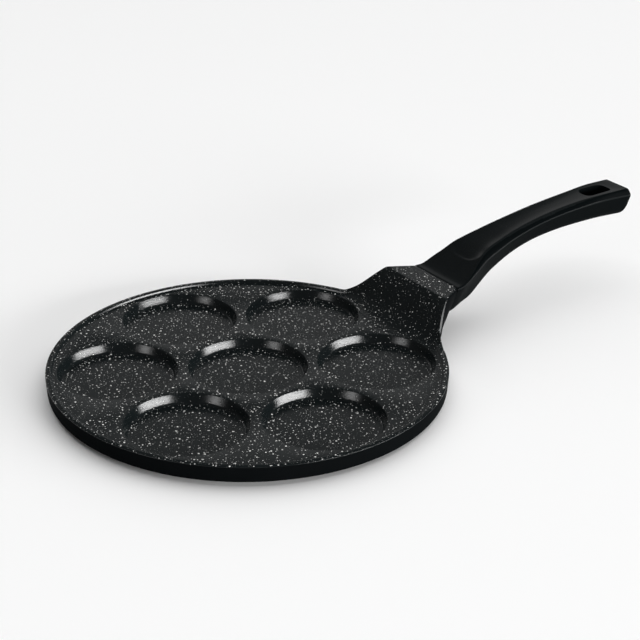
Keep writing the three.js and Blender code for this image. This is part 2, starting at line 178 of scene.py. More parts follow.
def loft(
    bm: BMesh, rings: Sequence[np.ndarray], skin: Callable[[int, int], int] = lambda row, column: 0
) -> list[list[BMVert]]:
    """Skin of quads over closed rings with equal numbers of points; a ring of one point closes in a fan.

    Args:
        bm: Mesh that the skin is added to.
        rings: Rows of points, one array for each ring.
        skin: Material index of the face after a given ring and point.

    Returns:
        Vertices of each ring.
    """
    made = [[bm.verts.new(point) for point in ring] for ring in rings]
    for row, (lower, upper) in enumerate(zip(made, made[1:])):
        count = max(len(lower), len(upper))
        for k in range(count):
            quad = [lower[k % len(lower)], upper[k % len(upper)]]
            quad += [upper[(k + 1) % count % len(upper)], lower[(k + 1) % count % len(lower)]]
            face = bm.faces.new(list(dict.fromkeys(quad)))
            face.smooth = True
            face.material_index = skin(row, k)
    return made


def turned(
    profile: Sequence[Sequence[float]], steps: int, middle: Sequence[float] = (0.0, 0.0)
) -> list[np.ndarray]:
    """Rings of a profile of (radius, height) points turned about an upright axis.

    Args:
        profile: Points from one end to the other; radius 0 gives a single point.
        steps: Points in a ring.
        middle: Where the axis stands.

    Returns:
        One array of points for each point of the profile.
    """
    angles = np.arange(steps) * (2 * math.pi / steps)
    around = np.stack([np.cos(angles), np.sin(angles), np.zeros(steps)], axis=1)
    rings = []
    for radius, height in profile:
        ring = around * radius + np.array([middle[0], middle[1], height])
        rings.append(ring if radius > 0 else ring[:1])
    return rings


def loop_edges(bm: BMesh, loop: Sequence[BMVert]) -> list[BMEdge]:
    """Edges between the neighbours of a closed loop of vertices."""
    return [bm.edges.get((a, b)) or bm.edges.new((a, b)) for a, b in zip(loop, [*loop[1:], loop[0]])]


def fill_level(bm: BMesh, loops: Sequence[Sequence[BMVert]]) -> None:
    """Adds level, flat-shaded faces.

    Args:
        bm: Mesh that the faces join.
        loops: Loops of vertices at one height; the faces lie inside the first and outside the others.
    """
    edges = [edge for loop in loops for edge in loop_edges(bm, loop)]
    made = bmesh.ops.triangle_fill(bm, use_beauty=True, edges=edges, normal=(0, 0, 1))["geom"]
    for face in made:
        if isinstance(face, BMFace):
            face.smooth = False


def close_ends(bm: BMesh, rings: Sequence[Sequence[BMVert]]) -> None:
    """Flat faces on the first and last ring of a loft."""
    bm.faces.new(rings[0])
    bm.faces.new(rings[-1])


def rounded_rectangle(half_length: float, half_width: float, corner: float) -> np.ndarray:
    """Outline of a rectangle with rounded corners, about the origin.

    Args:
        half_length: Half of its size along X.
        half_width: Half of its size along Y.
        corner: Radius of the corners.

    Returns:
        Rows of (x, y).
    """
    points = []
    for quarter in range(4):
        x = (half_length - corner) * (1 if quarter in (0, 3) else -1)
        y = (half_width - corner) * (1 if quarter < 2 else -1)
        for angle in np.linspace(quarter, quarter + 1, CORNER_STEPS + 1) * (math.pi / 2):
            points.append((x + corner * math.cos(angle), y + corner * math.sin(angle)))
    return np.array(points)


def at_height(outline: np.ndarray, height: float) -> np.ndarray:
    """Ring of points from an outline of (x, y) rows."""
    return np.column_stack([outline, np.full(len(outline), height)])


def as_object(name: str, bm: BMesh, place: Matrix = Matrix.Identity(4)) -> Object:
    """Object in metres from a mesh in millimetres, which is used up.

    Args:
        name: Name of the object.
        bm: Closed mesh.
        place: Where the mesh goes, in millimetres.

    Returns:
        The object, in the scene.
    """
    bmesh.ops.recalc_face_normals(bm, faces=bm.faces[:])
    bmesh.ops.transform(bm, matrix=Matrix.Scale(MM, 4) @ place, verts=bm.verts[:])
    mesh = bpy.data.meshes.new(name)
    bm.to_mesh(mesh)
    bm.free()
    made = bpy.data.objects.new(name, mesh)
    bpy.context.scene.collection.objects.link(made)
    return made


def carve(piece: Object, tools: Sequence[Tool]) -> None:
    """Takes tools away from a piece or joins them to it, in turn, and removes the tools.

    Args:
        piece: The piece, which gets a new mesh.
        tools: Tools and what each does.
    """
    for tool, cut in tools:
        modifier = piece.modifiers.new(tool.name, "BOOLEAN")
        modifier.object = tool
        modifier.operation = cut.value
        modifier.solver = "MANIFOLD"
    graph = bpy.context.evaluated_depsgraph_get()
    mesh = bpy.data.meshes.new_from_object(piece.evaluated_get(graph))
    piece.modifiers.clear()
    piece.data = mesh
    for tool, _ in tools:
        bpy.data.objects.remove(tool)


def block_tool(
    low: Sequence[float], high: Sequence[float], place: Matrix, skin: Skin = Skin.COAT
) -> Object:
    """Plain box between two corners, as a tool.

    Args:
        low: Lowest corner, before it is placed.
        high: Highest corner.
        place: Where the box goes.
        skin: Finish of the faces that it leaves.

    Returns:
        The tool.
    """
    bm = bmesh.new()
    bmesh.ops.create_cube(bm, size=1.0)
    for vertex in bm.verts:
        vertex.co = Vector(lerp(a, b, c + 0.5) for a, b, c in zip(low, high, vertex.co))
    for face in bm.faces:
        face.material_index = skin.value
    return as_object("block", bm, place)


def round_tool(radius: float, low: float, high: float, place: Matrix) -> Object:
    """Upright cylinder, as a tool.

    Args:
        radius: Its radius.
        low: Height of its lower end, before it is placed.
        high: Height of its upper end.
        place: Where the cylinder goes.

    Returns:
        The tool.
    """
    bm = bmesh.new()
    close_ends(bm, loft(bm, turned([(radius, low), (radius, high)], ROUND_STEPS)))
    return as_object("cylinder", bm, place)


# Finishes

SCALE_ADD = {"operation": "MULTIPLY_ADD"}
TIMES = {"operation": "MULTIPLY"}
COLOURED = {"data_type": "RGBA"}
WAVE_TURN = 20.0  # radians that the wave pattern turns in one unit of its scale


def linear(code: str) -> tuple[float, float, float, float]:
    """Scene-linear colour of an sRGB hex code."""
    parts = [int(code[k : k + 2], 16) / 255.0 for k in (1, 3, 5)]
    return (*(c / 12.92 if c <= 0.04045 else ((c + 0.055) / 1.055) ** 2.4 for c in parts), 1.0)


def feed(tree: NodeTree, node: Node, inputs: dict) -> None:
    """Sets or links inputs of a node.

    Args:
        tree: Tree that the node is in.
        node: The node.
        inputs: For each input, by name or place, a value or the output that is linked to it.
    """
    for key, value in inputs.items():
        if isinstance(value, NodeSocket):
            tree.links.new(value, node.inputs[key])
        else:
            node.inputs[key].default_value = value


def add_node(tree: NodeTree, kind: str, settings: dict, inputs: dict) -> Node:
    """Adds a node.

    Args:
        tree: Tree that it joins.
        kind: Node type, without the leading ShaderNode.
        settings: Values of the node's own properties.
        inputs: Values and links of its inputs, as feed takes them.

    Returns:
        The node.
    """
    node = tree.nodes.new("ShaderNode" + kind)
    for name, value in settings.items():
        setattr(node, name, value)
    feed(tree, node, inputs)
    return node


def sized(place: NodeSocket, size: float, **others: float) -> dict:
    """Inputs of a pattern whose features have a real size in millimetres."""
    return {"Vector": place, "Scale": 1 / (size * MM), **others}


def start_material(name: str, constants: dict) -> tuple[Material, NodeTree, Node]:
    """New material with one principled surface.

    Args:
        name: Name of the real material and process.
        constants: Values set directly on the surface's sockets.

    Returns:
        The material, its node tree and its surface node.
    """
    made = bpy.data.materials.new(name)
    made.use_nodes = True
    surface = made.node_tree.nodes["Principled BSDF"]
    feed(made.node_tree, surface, constants)
    return made, made.node_tree, surface


def mottled(
    tree: NodeTree, place: NodeSocket, patch: float, colours: tuple[str, str]
) -> tuple[NodeSocket, NodeSocket]:
    """Colour that drifts in clouds between two colours.

    Args:
        tree: The material's nodes.
        place: Coordinates on the piece.
        patch: Size of the clouds.
        colours: Hex codes of the two colours.

    Returns:
        Outputs with the share of the second colour, and with the colour.
    """
    cloud = add_node(tree, "TexNoise", {}, sized(place, patch, Detail=3.0)).outputs["Fac"]
    first, second = map(linear, colours)
    return cloud, add_node(tree, "Mix", COLOURED, {0: cloud, 6: first, 7: second}).outputs[2]


@dataclass(frozen=True)
class Relief:
    """Fine relief of a surface: how strongly it shows, and its height."""

    strength: float
    height: float

    def lay(
        self, tree: NodeTree, surface: Node, colour: NodeSocket, satin: NodeSocket, form: NodeSocket
    ) -> None:
        """Feeds a surface its colour, roughness and relief.

        Args:
            tree: The material's nodes.
            surface: Surface node.
            colour: Output with the colour.
            satin: Output with the roughness.
            form: Output with the relief's form, from 0 to 1.
        """
        shape = {"Strength": self.strength, "Distance": self.height * MM, "Height": form}
        normal = add_node(tree, "Bump", {}, shape).outputs["Normal"]
        feed(tree, surface, {"Base Color": colour, "Roughness": satin, "Normal": normal})


class Finish(Protocol):
    """Surface treatment that can be laid on a piece."""

    def material(self) -> Material:
        """Blender material of the finish."""


@dataclass(frozen=True)
class Fleck:
    """One size of mineral fleck in the coat."""

    radius: float
    spacing: float  # from fleck to fleck on the surface
    strength: float  # share of the flecks' colour

    def cell(self) -> float:
        """Cell of a solid pattern that leaves flecks at this spacing where a surface runs through it."""
        return (2.0 * self.radius * self.spacing**2) ** (1 / 3)


@dataclass(frozen=True)
class StoneCoat:
    """Sprayed non-stick coat with pale mineral flecks: near-black satin with crisp soft-box reflections."""

    colours: tuple[str, str] = ("#0B1011", "#131819")
    patch: float = 9.0
    fleck: str = "#F2F2EF"
    flecks: tuple[Fleck, ...] = (Fleck(0.67, 5.6, 1.0), Fleck(0.44, 3.2, 1.0), Fleck(0.28, 1.8, 0.3))
    smallest: float = 0.4  # share of the radius that the smallest flecks have
    dimmest: float = 0.55  # share of the strength that the dimmest have
    crisp: float = 0.9  # share of the radius at which a fleck starts to fade
    rag: float = 0.12  # how far a fleck's outline strays
    rag_length: float = 0.9
    steep: float = 0.5  # share of a fleck's size that a steep face keeps, which paints shade on steep faces
    steep_normal: float = 0.45  # upright part of a steep face's normal
    roughness: float = 0.15
    fleck_roughness: float = 0.25  # on top of the coat's
    grain: float = 0.7  # overspray is finer in reality, and is drawn as coarse as it needs to show
    grain_share: float = 0.5  # of a fleck's height
    relief: Relief = Relief(1.0, 0.16)

    def material(self) -> Material:
        """Flecks of three sizes over a mottled black, each a little rougher and prouder than the coat.

        Steep faces get fewer and smaller flecks, which paints shade on them.

        Returns:
            The material.
        """
        made, tree, surface = start_material("stone_effect_nonstick_sprayed", {"IOR": 1.5})
        lie = add_node(tree, "TexCoord", {}, {})
        place = lie.outputs["Object"]
        # Flecks shrink with the face's slope, which paints shade on the ramp and the well walls.
        upright = add_node(tree, "SeparateXYZ", {}, {0: lie.outputs["Normal"]}).outputs[2]
        slope = {"Value": upright, "From Min": self.steep_normal, "From Max": 1.0, "To Min": self.steep}
        slope_shade = add_node(tree, "MapRange", {}, slope).outputs[0]
        stray = add_node(tree, "TexNoise", {}, sized(place, self.rag_length, Detail=2.0)).outputs["Color"]
        ragged = {0: stray, 1: (self.rag * MM,) * 3, 2: place}
        warped = add_node(tree, "VectorMath", SCALE_ADD, ragged).outputs[0]
        shown, *others = (self._layer(tree, warped, slope_shade, fleck) for fleck in self.flecks)
        for layer in others:
            shown = add_node(tree, "Math", {"operation": "MAXIMUM"}, {0: shown, 1: layer}).outputs[0]
        _, black = mottled(tree, place, self.patch, self.colours)
        colour = add_node(tree, "Mix", COLOURED, {0: shown, 6: black, 7: linear(self.fleck)}).outputs[2]
        fine = add_node(tree, "TexNoise", {}, sized(place, self.grain, Detail=2.0)).outputs["Fac"]
        proud = add_node(tree, "Math", SCALE_ADD, {0: fine, 1: self.grain_share, 2: shown}).outputs[0]
        rougher = {0: shown, 1: self.fleck_roughness, 2: self.roughness}
        satin = add_node(tree, "Math", SCALE_ADD, rougher).outputs[0]
        self.relief.lay(tree, surface, colour, satin, proud)
        return made

    def _layer(self, tree: NodeTree, place: NodeSocket, slope_shade: NodeSocket, fleck: Fleck) -> NodeSocket:
        """Share of fleck colour from one size of fleck.

        Args:
            tree: The material's nodes.
            place: Warped coordinates, so that flecks are ragged.
            slope_shade: Share of a fleck's size that is left on the face, smaller on steep faces as painted
                shade.
            fleck: Size and spacing.

        Returns:
            Output that is 0 on plain coat.
        """
        cell, strength = fleck.cell(), fleck.strength
        reach = fleck.radius / cell
        grains = add_node(tree, "TexVoronoi", {"feature": "F1"}, sized(place, cell))
        chance = add_node(tree, "SeparateColor", {}, {0: grains.outputs["Color"]})
        sizes = {0: chance.outputs[0], 1: (1 - self.smallest) * reach, 2: self.smallest * reach}
        whole = add_node(tree, "Math", SCALE_ADD, sizes).outputs[0]
        radius = add_node(tree, "Math", TIMES, {0: whole, 1: slope_shade}).outputs[0]
        away = {0: grains.outputs["Distance"], 1: radius}
        near = add_node(tree, "Math", {"operation": "DIVIDE"}, away).outputs[0]
        rim = {"Value": near, "From Min": 1.0, "From Max": self.crisp}
        spot = add_node(tree, "MapRange", {}, rim).outputs[0]
        shades = {0: chance.outputs[1], 1: (1 - self.dimmest) * strength, 2: self.dimmest * strength}
        bright = add_node(tree, "Math", SCALE_ADD, shades).outputs[0]
        return add_node(tree, "Math", TIMES, {0: spot, 1: bright}).outputs[0]


@dataclass(frozen=True)
class PlainBlack:
    """Black lacquer or moulding: a deep satin black whose faint mottle and grain break up its sheen.

    The grain is a few hundredths of a millimetre in reality, and is drawn as coarse as it needs to show.
    """

    name: str
    colours: tuple[str, str]
    roughness: float
    specular: float
    patch: float
    grain: float
    relief: Relief
    drift: float = 0.04  # of the roughness, up and down

    def material(self) -> Material:
        """Mottled black with an even grain.

        Returns:
            The material.
        """
        made, tree, surface = start_material(self.name, {"Specular IOR Level": self.specular})
        place = add_node(tree, "TexCoord", {}, {}).outputs["Object"]
        cloud, colour = mottled(tree, place, self.patch, self.colours)
        fine = add_node(tree, "TexNoise", {}, sized(place, self.grain, Detail=2.0)).outputs["Fac"]
        drifting = {0: cloud, 1: 2 * self.drift, 2: self.roughness - self.drift}
        satin = add_node(tree, "Math", SCALE_ADD, drifting).outputs[0]
        self.relief.lay(tree, surface, colour, satin, fine)
        return made


@dataclass(frozen=True)
class WorkedMetal:
    """Bare or plated steel: a bright metal with turned lines and a cloudy tint.

    The lines are about 0.1 mm apart in reality, and are drawn as coarse as they need to show.
    """

    name: str
    colours: tuple[str, str]
    roughness: float
    line: float  # spacing of the turned lines, for each radian of their wave
    patch: float = 6.0
    streak: float = 0.06  # of the roughness, up and down
    relief: Relief = Relief(0.2, 0.01)

    def material(self) -> Material:
        """Metal with lines turned about the upright axis.

        Returns:
            The material.
        """
        made, tree, surface = start_material(self.name, {"Metallic": 1.0})
        place = add_node(tree, "TexCoord", {}, {}).outputs["Object"]
        _, colour = mottled(tree, place, self.patch, self.colours)
        rings = {"wave_type": "RINGS", "rings_direction": "Z"}
        waves = sized(place, WAVE_TURN * self.line, Distortion=1.5, Detail=2.0)
        lines = add_node(tree, "TexWave", rings, waves).outputs["Fac"]
        streaked = {0: lines, 1: 2 * self.streak, 2: self.roughness - self.streak}
        satin = add_node(tree, "Math", SCALE_ADD, streaked).outputs[0]
        self.relief.lay(tree, surface, colour, satin, lines)
        return made


STONE_COAT = StoneCoat()
# Stoved lacquer on the outer wall and underside: an even black that mirrors next to nothing.
WALL_LACQUER = PlainBlack(
    "black_lacquer_stoved", ("#0B0D0E", "#0E1011"),
    roughness=0.42, specular=0.001, patch=14.0, grain=0.9, relief=Relief(0.3, 0.01),
)
# Top of the handle: the lighter of two copies of its black, on faces that look up, with a broad, silky
# sheen along the dish.
LIT_TOP_BLACK = PlainBlack(
    "black_phenolic_lit_top", ("#0D1112", "#101415"),
    roughness=0.24, specular=0.35, patch=11.0, grain=0.35, relief=Relief(0.3, 0.02),
)
# Flanks and underside of the handle: a darker, duller copy of the same black, the dullest and deepest black
# of the handle, which paints shade on faces that turn from the light.
SHADED_SIDE_BLACK = PlainBlack(
    "black_phenolic_painted_shade", ("#06090A", "#090C0D"),
    roughness=0.4, specular=0.006, patch=11.0, grain=0.5, relief=Relief(0.3, 0.03),
)
# Crease at the mould's parting line: a thin line a little brighter than the flanks, its lighter colour a
# painted highlight and its extra sheen real.
CREASE_HIGHLIGHT_BLACK = PlainBlack(
    "black_phenolic_crease_painted_highlight", ("#0B0F10", "#0E1213"),
    roughness=0.3, specular=0.055, patch=11.0, grain=0.35, relief=Relief(0.3, 0.02),
)
# Ferritic sheet, lightly turned: pale grey with faint rings.
STAINLESS = WorkedMetal("stainless_sheet_turned", ("#BDBBB5", "#A9A7A2"), roughness=0.34, line=0.6)
# Bright zinc: a clear, bluish grey.
ZINC = WorkedMetal("steel_bright_zinc_plate", ("#C3C6C8", "#B4B9BF"), roughness=0.3, line=0.25)
# Darkened zinc: a dull mid grey that sets the spring washer apart.
DARK_ZINC = WorkedMetal("spring_steel_dark_zinc_plate", ("#8E9194", "#7C7F84"), roughness=0.38, line=0.25)


def publish(piece: Object, node: str, finishes: Sequence[Finish]) -> None:
    """Puts a finished piece on the frame in place of its CAD node.

    Args:
        piece: The piece, in place.
        node: CAD node that it stands for.
        finishes: Finishes, in the order of the faces' material indices.
    """
    slots = piece.data.materials
    for place, finish in enumerate(finishes):
        if place == len(slots):
            slots.append(None)
        slots[place] = finish.material()
    piece.data.set_sharp_from_angle(angle=math.radians(SHARP))
    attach(piece, "root")
    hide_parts(node)
    LOG.info("%s: %d faces for %s", piece.name, len(piece.data.polygons), node)


# Sub-assemblies


@dataclass(frozen=True)
class Joint:
    """Where the tang goes into the handle and the screw holds it."""

    seam: float = 155.7
    height: float = 24.0
    tilt: float = 22.0
    tang_length: float = 30.0
    tang_width: float = 17.0
    tang_thickness: float = 10.0
    tang_root: float = 3.0
    screw_reach: float = 16.0
    screw_radius: float = 2.5
    seat_wall: float = 3.5
    washer_radius: float = 5.0
    washer_thickness: float = 1.0
    spring_radius: float = 4.4
    spring_thickness: float = 1.3

    def frame(self, along: float = 0.0) -> Matrix:
        """Joint's own frame at a distance along the tang: X along the tang, Z across its flat."""
        turn = Matrix.Rotation(-math.radians(self.tilt), 4, "Y")
        return Matrix.Translation((self.seam, 0, self.height)) @ turn @ Matrix.Translation((along, 0, 0))

    def seat(self) -> float:
        """Height of the face that the flat washer bears on."""
        return -(self.tang_thickness / 2 + FIT + self.seat_wall)

    def washer_top(self) -> float:
        """Top of the flat washer."""
        return self.seat() - FIT

    def spring_top(self) -> float:
        """Top of the spring washer."""
        return self.washer_top() - self.washer_thickness - FIT

    def head_top(self) -> float:
        """Upper face of the screw's head."""
        return self.spring_top() - self.spring_thickness - FIT


JOINT = Joint()


@dataclass(frozen=True)
class CastPan:
    """Cast plate with its rim, seven wells, the lug that carries the handle and the tang inside it.

    Rows count the spans of a profile and columns the profiles round the axis.
    """

    rim_radius: float = 130.0
    rim_height: float = 14.0
    plate_top: float = 11.9
    lip_inner: float = 126.4
    lip_round: float = 0.7
    lip_bulge: float = 0.02
    lip_fall: float = 0.35
    # From the lip's inner corner: where its edge starts and turns, its crest, and where its fall turns.
    lip_edge: Points = ((-0.12, -0.35), (0.0, -0.1), (1.0, 0.0), (2.0, 0.0))
    step_draft: float = 0.6
    step_toe: float = 0.4
    step_turn: float = 0.3
    step_fillet: float = 2.4
    rim_rows: tuple[int, int, int] = (10, 8, 8)
    wall_taper: float = 0.7
    foot_rise: float = 3.1
    foot_ease: float = 0.8
    foot_rows: int = 4
    base_radius: float = 122.3
    pocket_radius: float = 92.3
    pocket_top: float = 1.2
    pocket_ease: float = 0.2
    well_radius: float = 39.0
    well_pitch: float = 84.0
    well_turn: float = 30.0
    well_depth: float = 6.4
    well_edge: float = 0.3
    well_draft: float = 2.2
    well_fillet: float = 1.5
    well_clear: float = 0.3  # level plate that is left round a well
    well_rows: tuple[int, int, int, int] = (4, 3, 6, 5)
    well_columns: int = 96
    ramp_start: float = 100.0
    ramp_turns: tuple[float, float] = (18.0, 30.0)  # where the ramp's start gives way to the rim's
    ramp_foot: float = 116.0
    ramp_round: float = 13.5
    ramp_bow: float = 0.008
    ramp_blend: float = 1.0  # height over which ramp and rim run into each other
    ramp_least: float = 0.02  # height of the ramp at which they begin to
    ramp_rows: tuple[int, int, int] = (24, 16, 6)
    brow: tuple[float, float] = (131.0, 29.8)
    crest: tuple[float, float] = (137.9, 34.8)
    crest_round: float = 0.8
    lug_outline: Points = (
        (168.0, 16.1), (155.7, 23.8), (146.4, 29.0), (140.2, 32.0), (134.3, 35.2), (128.0, 39.6),
        (120.0, 46.2), (112.0, 52.5),
    )
    lug_under_outline: Points = (
        (163.0, 6.0), (155.7, 13.0), (147.2, 21.5), (139.0, 29.0), (129.2, 39.0), (118.4, 46.0),
    )
    lug_under: tuple[float, float] = (8.59, 0.0744)  # height at the wall, and slope
    lug_under_least: float = 0.05  # least reach of the lug's underside from the wall
    lug_turns: tuple[float, float] = (26.0, 34.0)  # where the lug fades into the plain wall
    lug_blend: float = 2.5
    # Rounds of the lug's upper edge by their turns; the lip's own round follows.
    lug_rounds: Points = ((8.0, 3.0), (10.5, 2.7), (13.0, 1.4), (15.5, 0.9), (22.0, 0.8))
    lip_turn: float = 27.0
    edge_share: float = 1 / 3  # most of the flank that the upper edge takes
    heel_round: float = 5.0
    heel_shares: tuple[float, float] = (0.55, 0.4)  # most of the sole and of the flank that it takes
    hollow_round: float = 3.0
    hollow_share: float = 0.4  # most of the sole that it takes
    seam_ease: float = 0.6
    seam_cuts: tuple[float, ...] = (0.0, 0.1, 0.25, 0.45)
    top_rows: tuple[int, ...] = (30, 18, 10, 16, 11)
    step_stops: tuple[float, float] = (-1.6, 0.6)  # rows gather here, from the lip's inner corner
    crest_stops: Points = ((-2.0, 0.36), (1.6, 0.63))  # and here: from the crest, or share of the lip
    crest_turn: float = 30.0  # the crest counts as straight up to here
    side_rows: tuple[int, ...] = (6, 36, 8, 10, 6, 8)
    fine_turn: float = 36.0
    column_steps: tuple[float, float] = (0.4, 1.5)  # degrees between columns up to there, and beyond
    flank_coat: float = 0.6  # share of the lug's flank that the coat covers
    coat_turns: tuple[float, ...] = (13.0, 17.0, 21.0, 27.0)  # it starts, is full, shrinks and ends
    shaded_edge_turns: tuple[float, float] = (12.0, 15.5)  # the dull lacquer takes the edge beside the seam, so that it renders dark: painted shade
    shaded_edge_share: float = 0.8
    core_half: tuple[float, float] = (6.5, 9.0)
    core_corner: float = 2.0
    core_back: float = 12.0
    core_top: float = 23.5

    def build(self) -> Object:
        """Skin of the casting with its wells, lug, core pocket and tang.

        Returns:
            The piece, in place.
        """
        bm = bmesh.new()
        near, far = self.column_steps
        turns = [np.arange(-self.fine_turn, self.fine_turn, near)]
        turns.append(np.arange(self.fine_turn, 360.0 - self.fine_turn, far))
        angles = np.radians(np.concatenate(turns))
        columns = np.stack([self._column(angle) for angle in angles])
        rings = [
            np.stack([row[:, 0] * np.cos(angles), row[:, 0] * np.sin(angles), row[:, 1]], axis=1)
            for row in columns.transpose(1, 0, 2)
        ]
        rings.append(np.array([[0.0, 0.0, self.pocket_top]]))
        skin = loft(bm, rings, lambda row, column: self._skin(row, angles[column]).value)
        loops = [skin[0]]
        for middle in self._middles():
            loops.append(loft(bm, turned(self._well(), self.well_columns, middle))[0])
        fill_level(bm, loops)
        self._cut_seam(bm)
        piece = as_object("cast_pan", bm)
        carve(piece, self._tools())
        return piece

    def dress(self, piece: Object) -> None:
        """Stone-effect coat inside and over the lug, black lacquer on the outer wall and underside, and on
        the lug's edge beside the seam as painted shade.
        """
        publish(piece, "pan_body", (STONE_COAT, WALL_LACQUER))

    def _middles(self) -> list[tuple[float, float]]:
        """Middles of the wells.

        Returns:
            One on the axis and six round it, with the handle's line between two of them.
        """
        ring = [math.radians(self.well_turn + 60 * k) for k in range(6)]
        pitch = self.well_pitch
        return [(0.0, 0.0), *((pitch * math.cos(angle), pitch * math.sin(angle)) for angle in ring)]

    def _well(self) -> np.ndarray:
        """Profile of a well.

        Returns:
            Rows of (radius, height) from its mouth to the middle of its floor.
        """
        mouth, top = self.well_radius, self.plate_top
        edge_rows, wall_rows, fillet_rows, floor_rows = self.well_rows
        floor = top - self.well_depth
        foot = (mouth - self.well_draft, floor + self.well_fillet)
        brink = (mouth - self.well_edge, top - self.well_edge)
        lean = (brink[0] - foot[0]) / (brink[1] - foot[1])
        edge = bend((mouth, top), (brink[0] + lean * self.well_edge, top), brink, edge_rows)
        toe = foot[0] - lean * self.well_fillet
        fillet = bend(foot, (toe, floor), (toe - self.well_fillet, floor), fillet_rows)
        level = straight(fillet[-1], (0.0, floor), floor_rows)
        return np.concatenate([edge, straight(brink, foot, wall_rows)[1:-1], fillet, level[1:]])

    def _rim(self, radius: np.ndarray) -> np.ndarray:
        """Height of the plain plate and rim.

        Args:
            radius: Distances from the axis.

        Returns:
            Heights: level, a hollow, a steep step up, and a lip that falls gently outward.
        """
        brow, edge, crest, fall = np.array([self.lip_inner, self.rim_height]) + np.array(self.lip_edge)
        toe = (self.lip_inner - self.step_draft, self.plate_top + self.step_toe)
        start = (toe[0] - self.step_fillet, self.plate_top)
        outer = (self.rim_radius, self.rim_height - self.lip_fall)
        hollow_rows, edge_rows, fall_rows = self.rim_rows
        line = np.concatenate([
            bend(start, (toe[0] - self.step_turn, self.plate_top), toe, hollow_rows),
            bend(brow, edge, crest, edge_rows),
            bend(crest, fall, outer, fall_rows)[1:],
        ])
        return np.interp(radius, line[:, 0], line[:, 1])

    def _ramp(self) -> np.ndarray:
        """Outline of the lug's ramp on the handle's line.

        Returns:
            Rows of (x, height) from the plate up the ramp, over its brow and round the crest.
        """
        foot = np.array([self.ramp_foot, self.plate_top])
        brow, crest = np.array(self.brow), np.array(self.crest)
        start = foot + (brow - foot) * self.ramp_round / np.linalg.norm(brow - foot)
        end = crest + (brow - crest) * self.crest_round / np.linalg.norm(brow - crest)
        foot_rows, brow_rows, crest_rows = self.ramp_rows
        return np.concatenate([
            bend(foot - (self.ramp_round, 0.0), foot, start, foot_rows),
            bend(start, brow, end, brow_rows)[1:],
            bend(end, crest, crest + (self.crest_round, 0.0), crest_rows)[1:],
        ])

    def _top(self, radius: np.ndarray, turn: float) -> np.ndarray:
        """Height of the upper skin.

        Args:
            radius: Distances from the axis.
            turn: Degrees from the handle's line.

        Returns:
            Heights: the rim's, or the ramp's where that is higher.
        """
        ramp = self._ramp()
        x, y = radius * math.cos(math.radians(turn)), radius * math.sin(math.radians(turn))
        bow = self.ramp_bow * (1.0 - smoothstep(x, ramp[0, 0], ramp[self.ramp_rows[0], 0])) * y**2
        rim, climb = self._rim(radius), np.interp(x - bow, ramp[:, 0], ramp[:, 1])
        blend = np.maximum(self.ramp_blend - np.abs(rim - climb), 0.0) ** 2 / (4.0 * self.ramp_blend)
        return np.maximum(rim, climb) + blend * (climb > self.plate_top + self.ramp_least)

    def _polar(self, outline: Points) -> Line:
        """Radius against degrees from the handle's line, through points of (x, half width)."""
        return Line(tuple(sorted((math.degrees(math.atan2(w, x)), math.hypot(x, w)) for x, w in outline)))

    def _foot(self, turn: float) -> float:
        """Radius where the level plate ends and the ramp or rim begins.

        Args:
            turn: Degrees from the handle's line.

        Returns:
            The radius, kept clear of the wells.
        """
        end = self.lip_inner - self.step_draft - self.step_fillet
        clear = lerp(self.ramp_start, end, smoothstep(turn, *self.ramp_turns))
        off = math.radians(abs(turn - self.well_turn))
        reach = self.well_radius**2 - (self.well_pitch * math.sin(off)) ** 2
        if turn < self.well_turn and reach > 0:
            clear = max(clear, self.well_pitch * math.cos(off) + math.sqrt(reach) + self.well_clear)
        return min(clear, end)

    def _wall(self, height: float) -> np.ndarray:
        """Point of the outer wall at a height."""
        share = (height - self.foot_rise) / (self.rim_height - self.lip_round - self.foot_rise)
        return np.array([self.rim_radius - self.wall_taper * (1 - share), height])

    def _column(self, angle: float) -> np.ndarray:
        """Outline of the skin in an upright plane through the axis.

        Args:
            angle: Angle of the plane from the handle's line, in radians.

        Returns:
            Rows of (radius, height) from the level plate out over the edge and under to the plate's pocket.
        """
        turn = turn_of(angle)
        lug = 1.0 - smoothstep(turn, *self.lug_turns)
        out = self._polar(self.lug_outline)(turn)
        edge = lerp(self.rim_radius, soft_max(self.rim_radius, out, self.lug_blend), lug)
        ease = np.interp(turn, *zip(*self.lug_rounds, (self.lip_turn, self.lip_round)))
        before, after = (self.lip_inner + off for off in self.step_stops)
        flat = math.cos(math.radians(min(turn, self.crest_turn)))
        about_crest = [
            min((self.crest[0] + off) / flat, after + share * (edge - after))
            for off, share in self.crest_stops
        ]
        stops = (self._foot(turn), before, after, *about_crest)
        spans = [np.linspace(a, b, n, endpoint=False) for a, b, n in zip(stops, stops[1:], self.top_rows)]
        radius = np.concatenate([*spans, np.linspace(stops[-1], edge - ease, self.top_rows[-1])])
        top = np.stack([radius, self._top(radius, turn)], axis=1)
        corner = np.array([edge, float(self._top(np.array([edge]), turn)[0])])
        around = lerp(self._plain_side(top[-1], corner), self._lug_side(top[-1], corner, turn), lug)
        foot, base = self._wall(self.foot_rise), np.array([self.base_radius, 0.0])
        slope = self.foot_ease * ((base - foot) / np.linalg.norm(base - foot))
        pocket, ease_in = self.pocket_radius, self.pocket_ease
        return np.concatenate([
            top,
            around,
            bend(around[-1], foot, foot + slope, self.foot_rows)[1:],
            bend(base - slope, base, base - (self.foot_ease, 0.0), self.foot_rows),
            [(pocket + ease_in, 0.0), (pocket, ease_in), (pocket, self.pocket_top)],
        ])

    def _plain_side(self, brink: np.ndarray, corner: np.ndarray) -> np.ndarray:
        """Rounded lip and outer wall where there is no lug.

        Args:
            brink: Last point of the upper skin.
            corner: Where the upper skin and the side would meet.

        Returns:
            Rows of (radius, height) down to just above the foot, as many as the lug's side has.
        """
        start = self._wall(self.rim_height - self.lip_round)
        lip = bend(brink, (start[0] + self.lip_bulge, corner[1]), start, self.side_rows[0])[1:]
        wall = straight(start, self._wall(self.foot_rise + self.foot_ease), sum(self.side_rows[1:]))[1:]
        return np.concatenate([lip, wall])

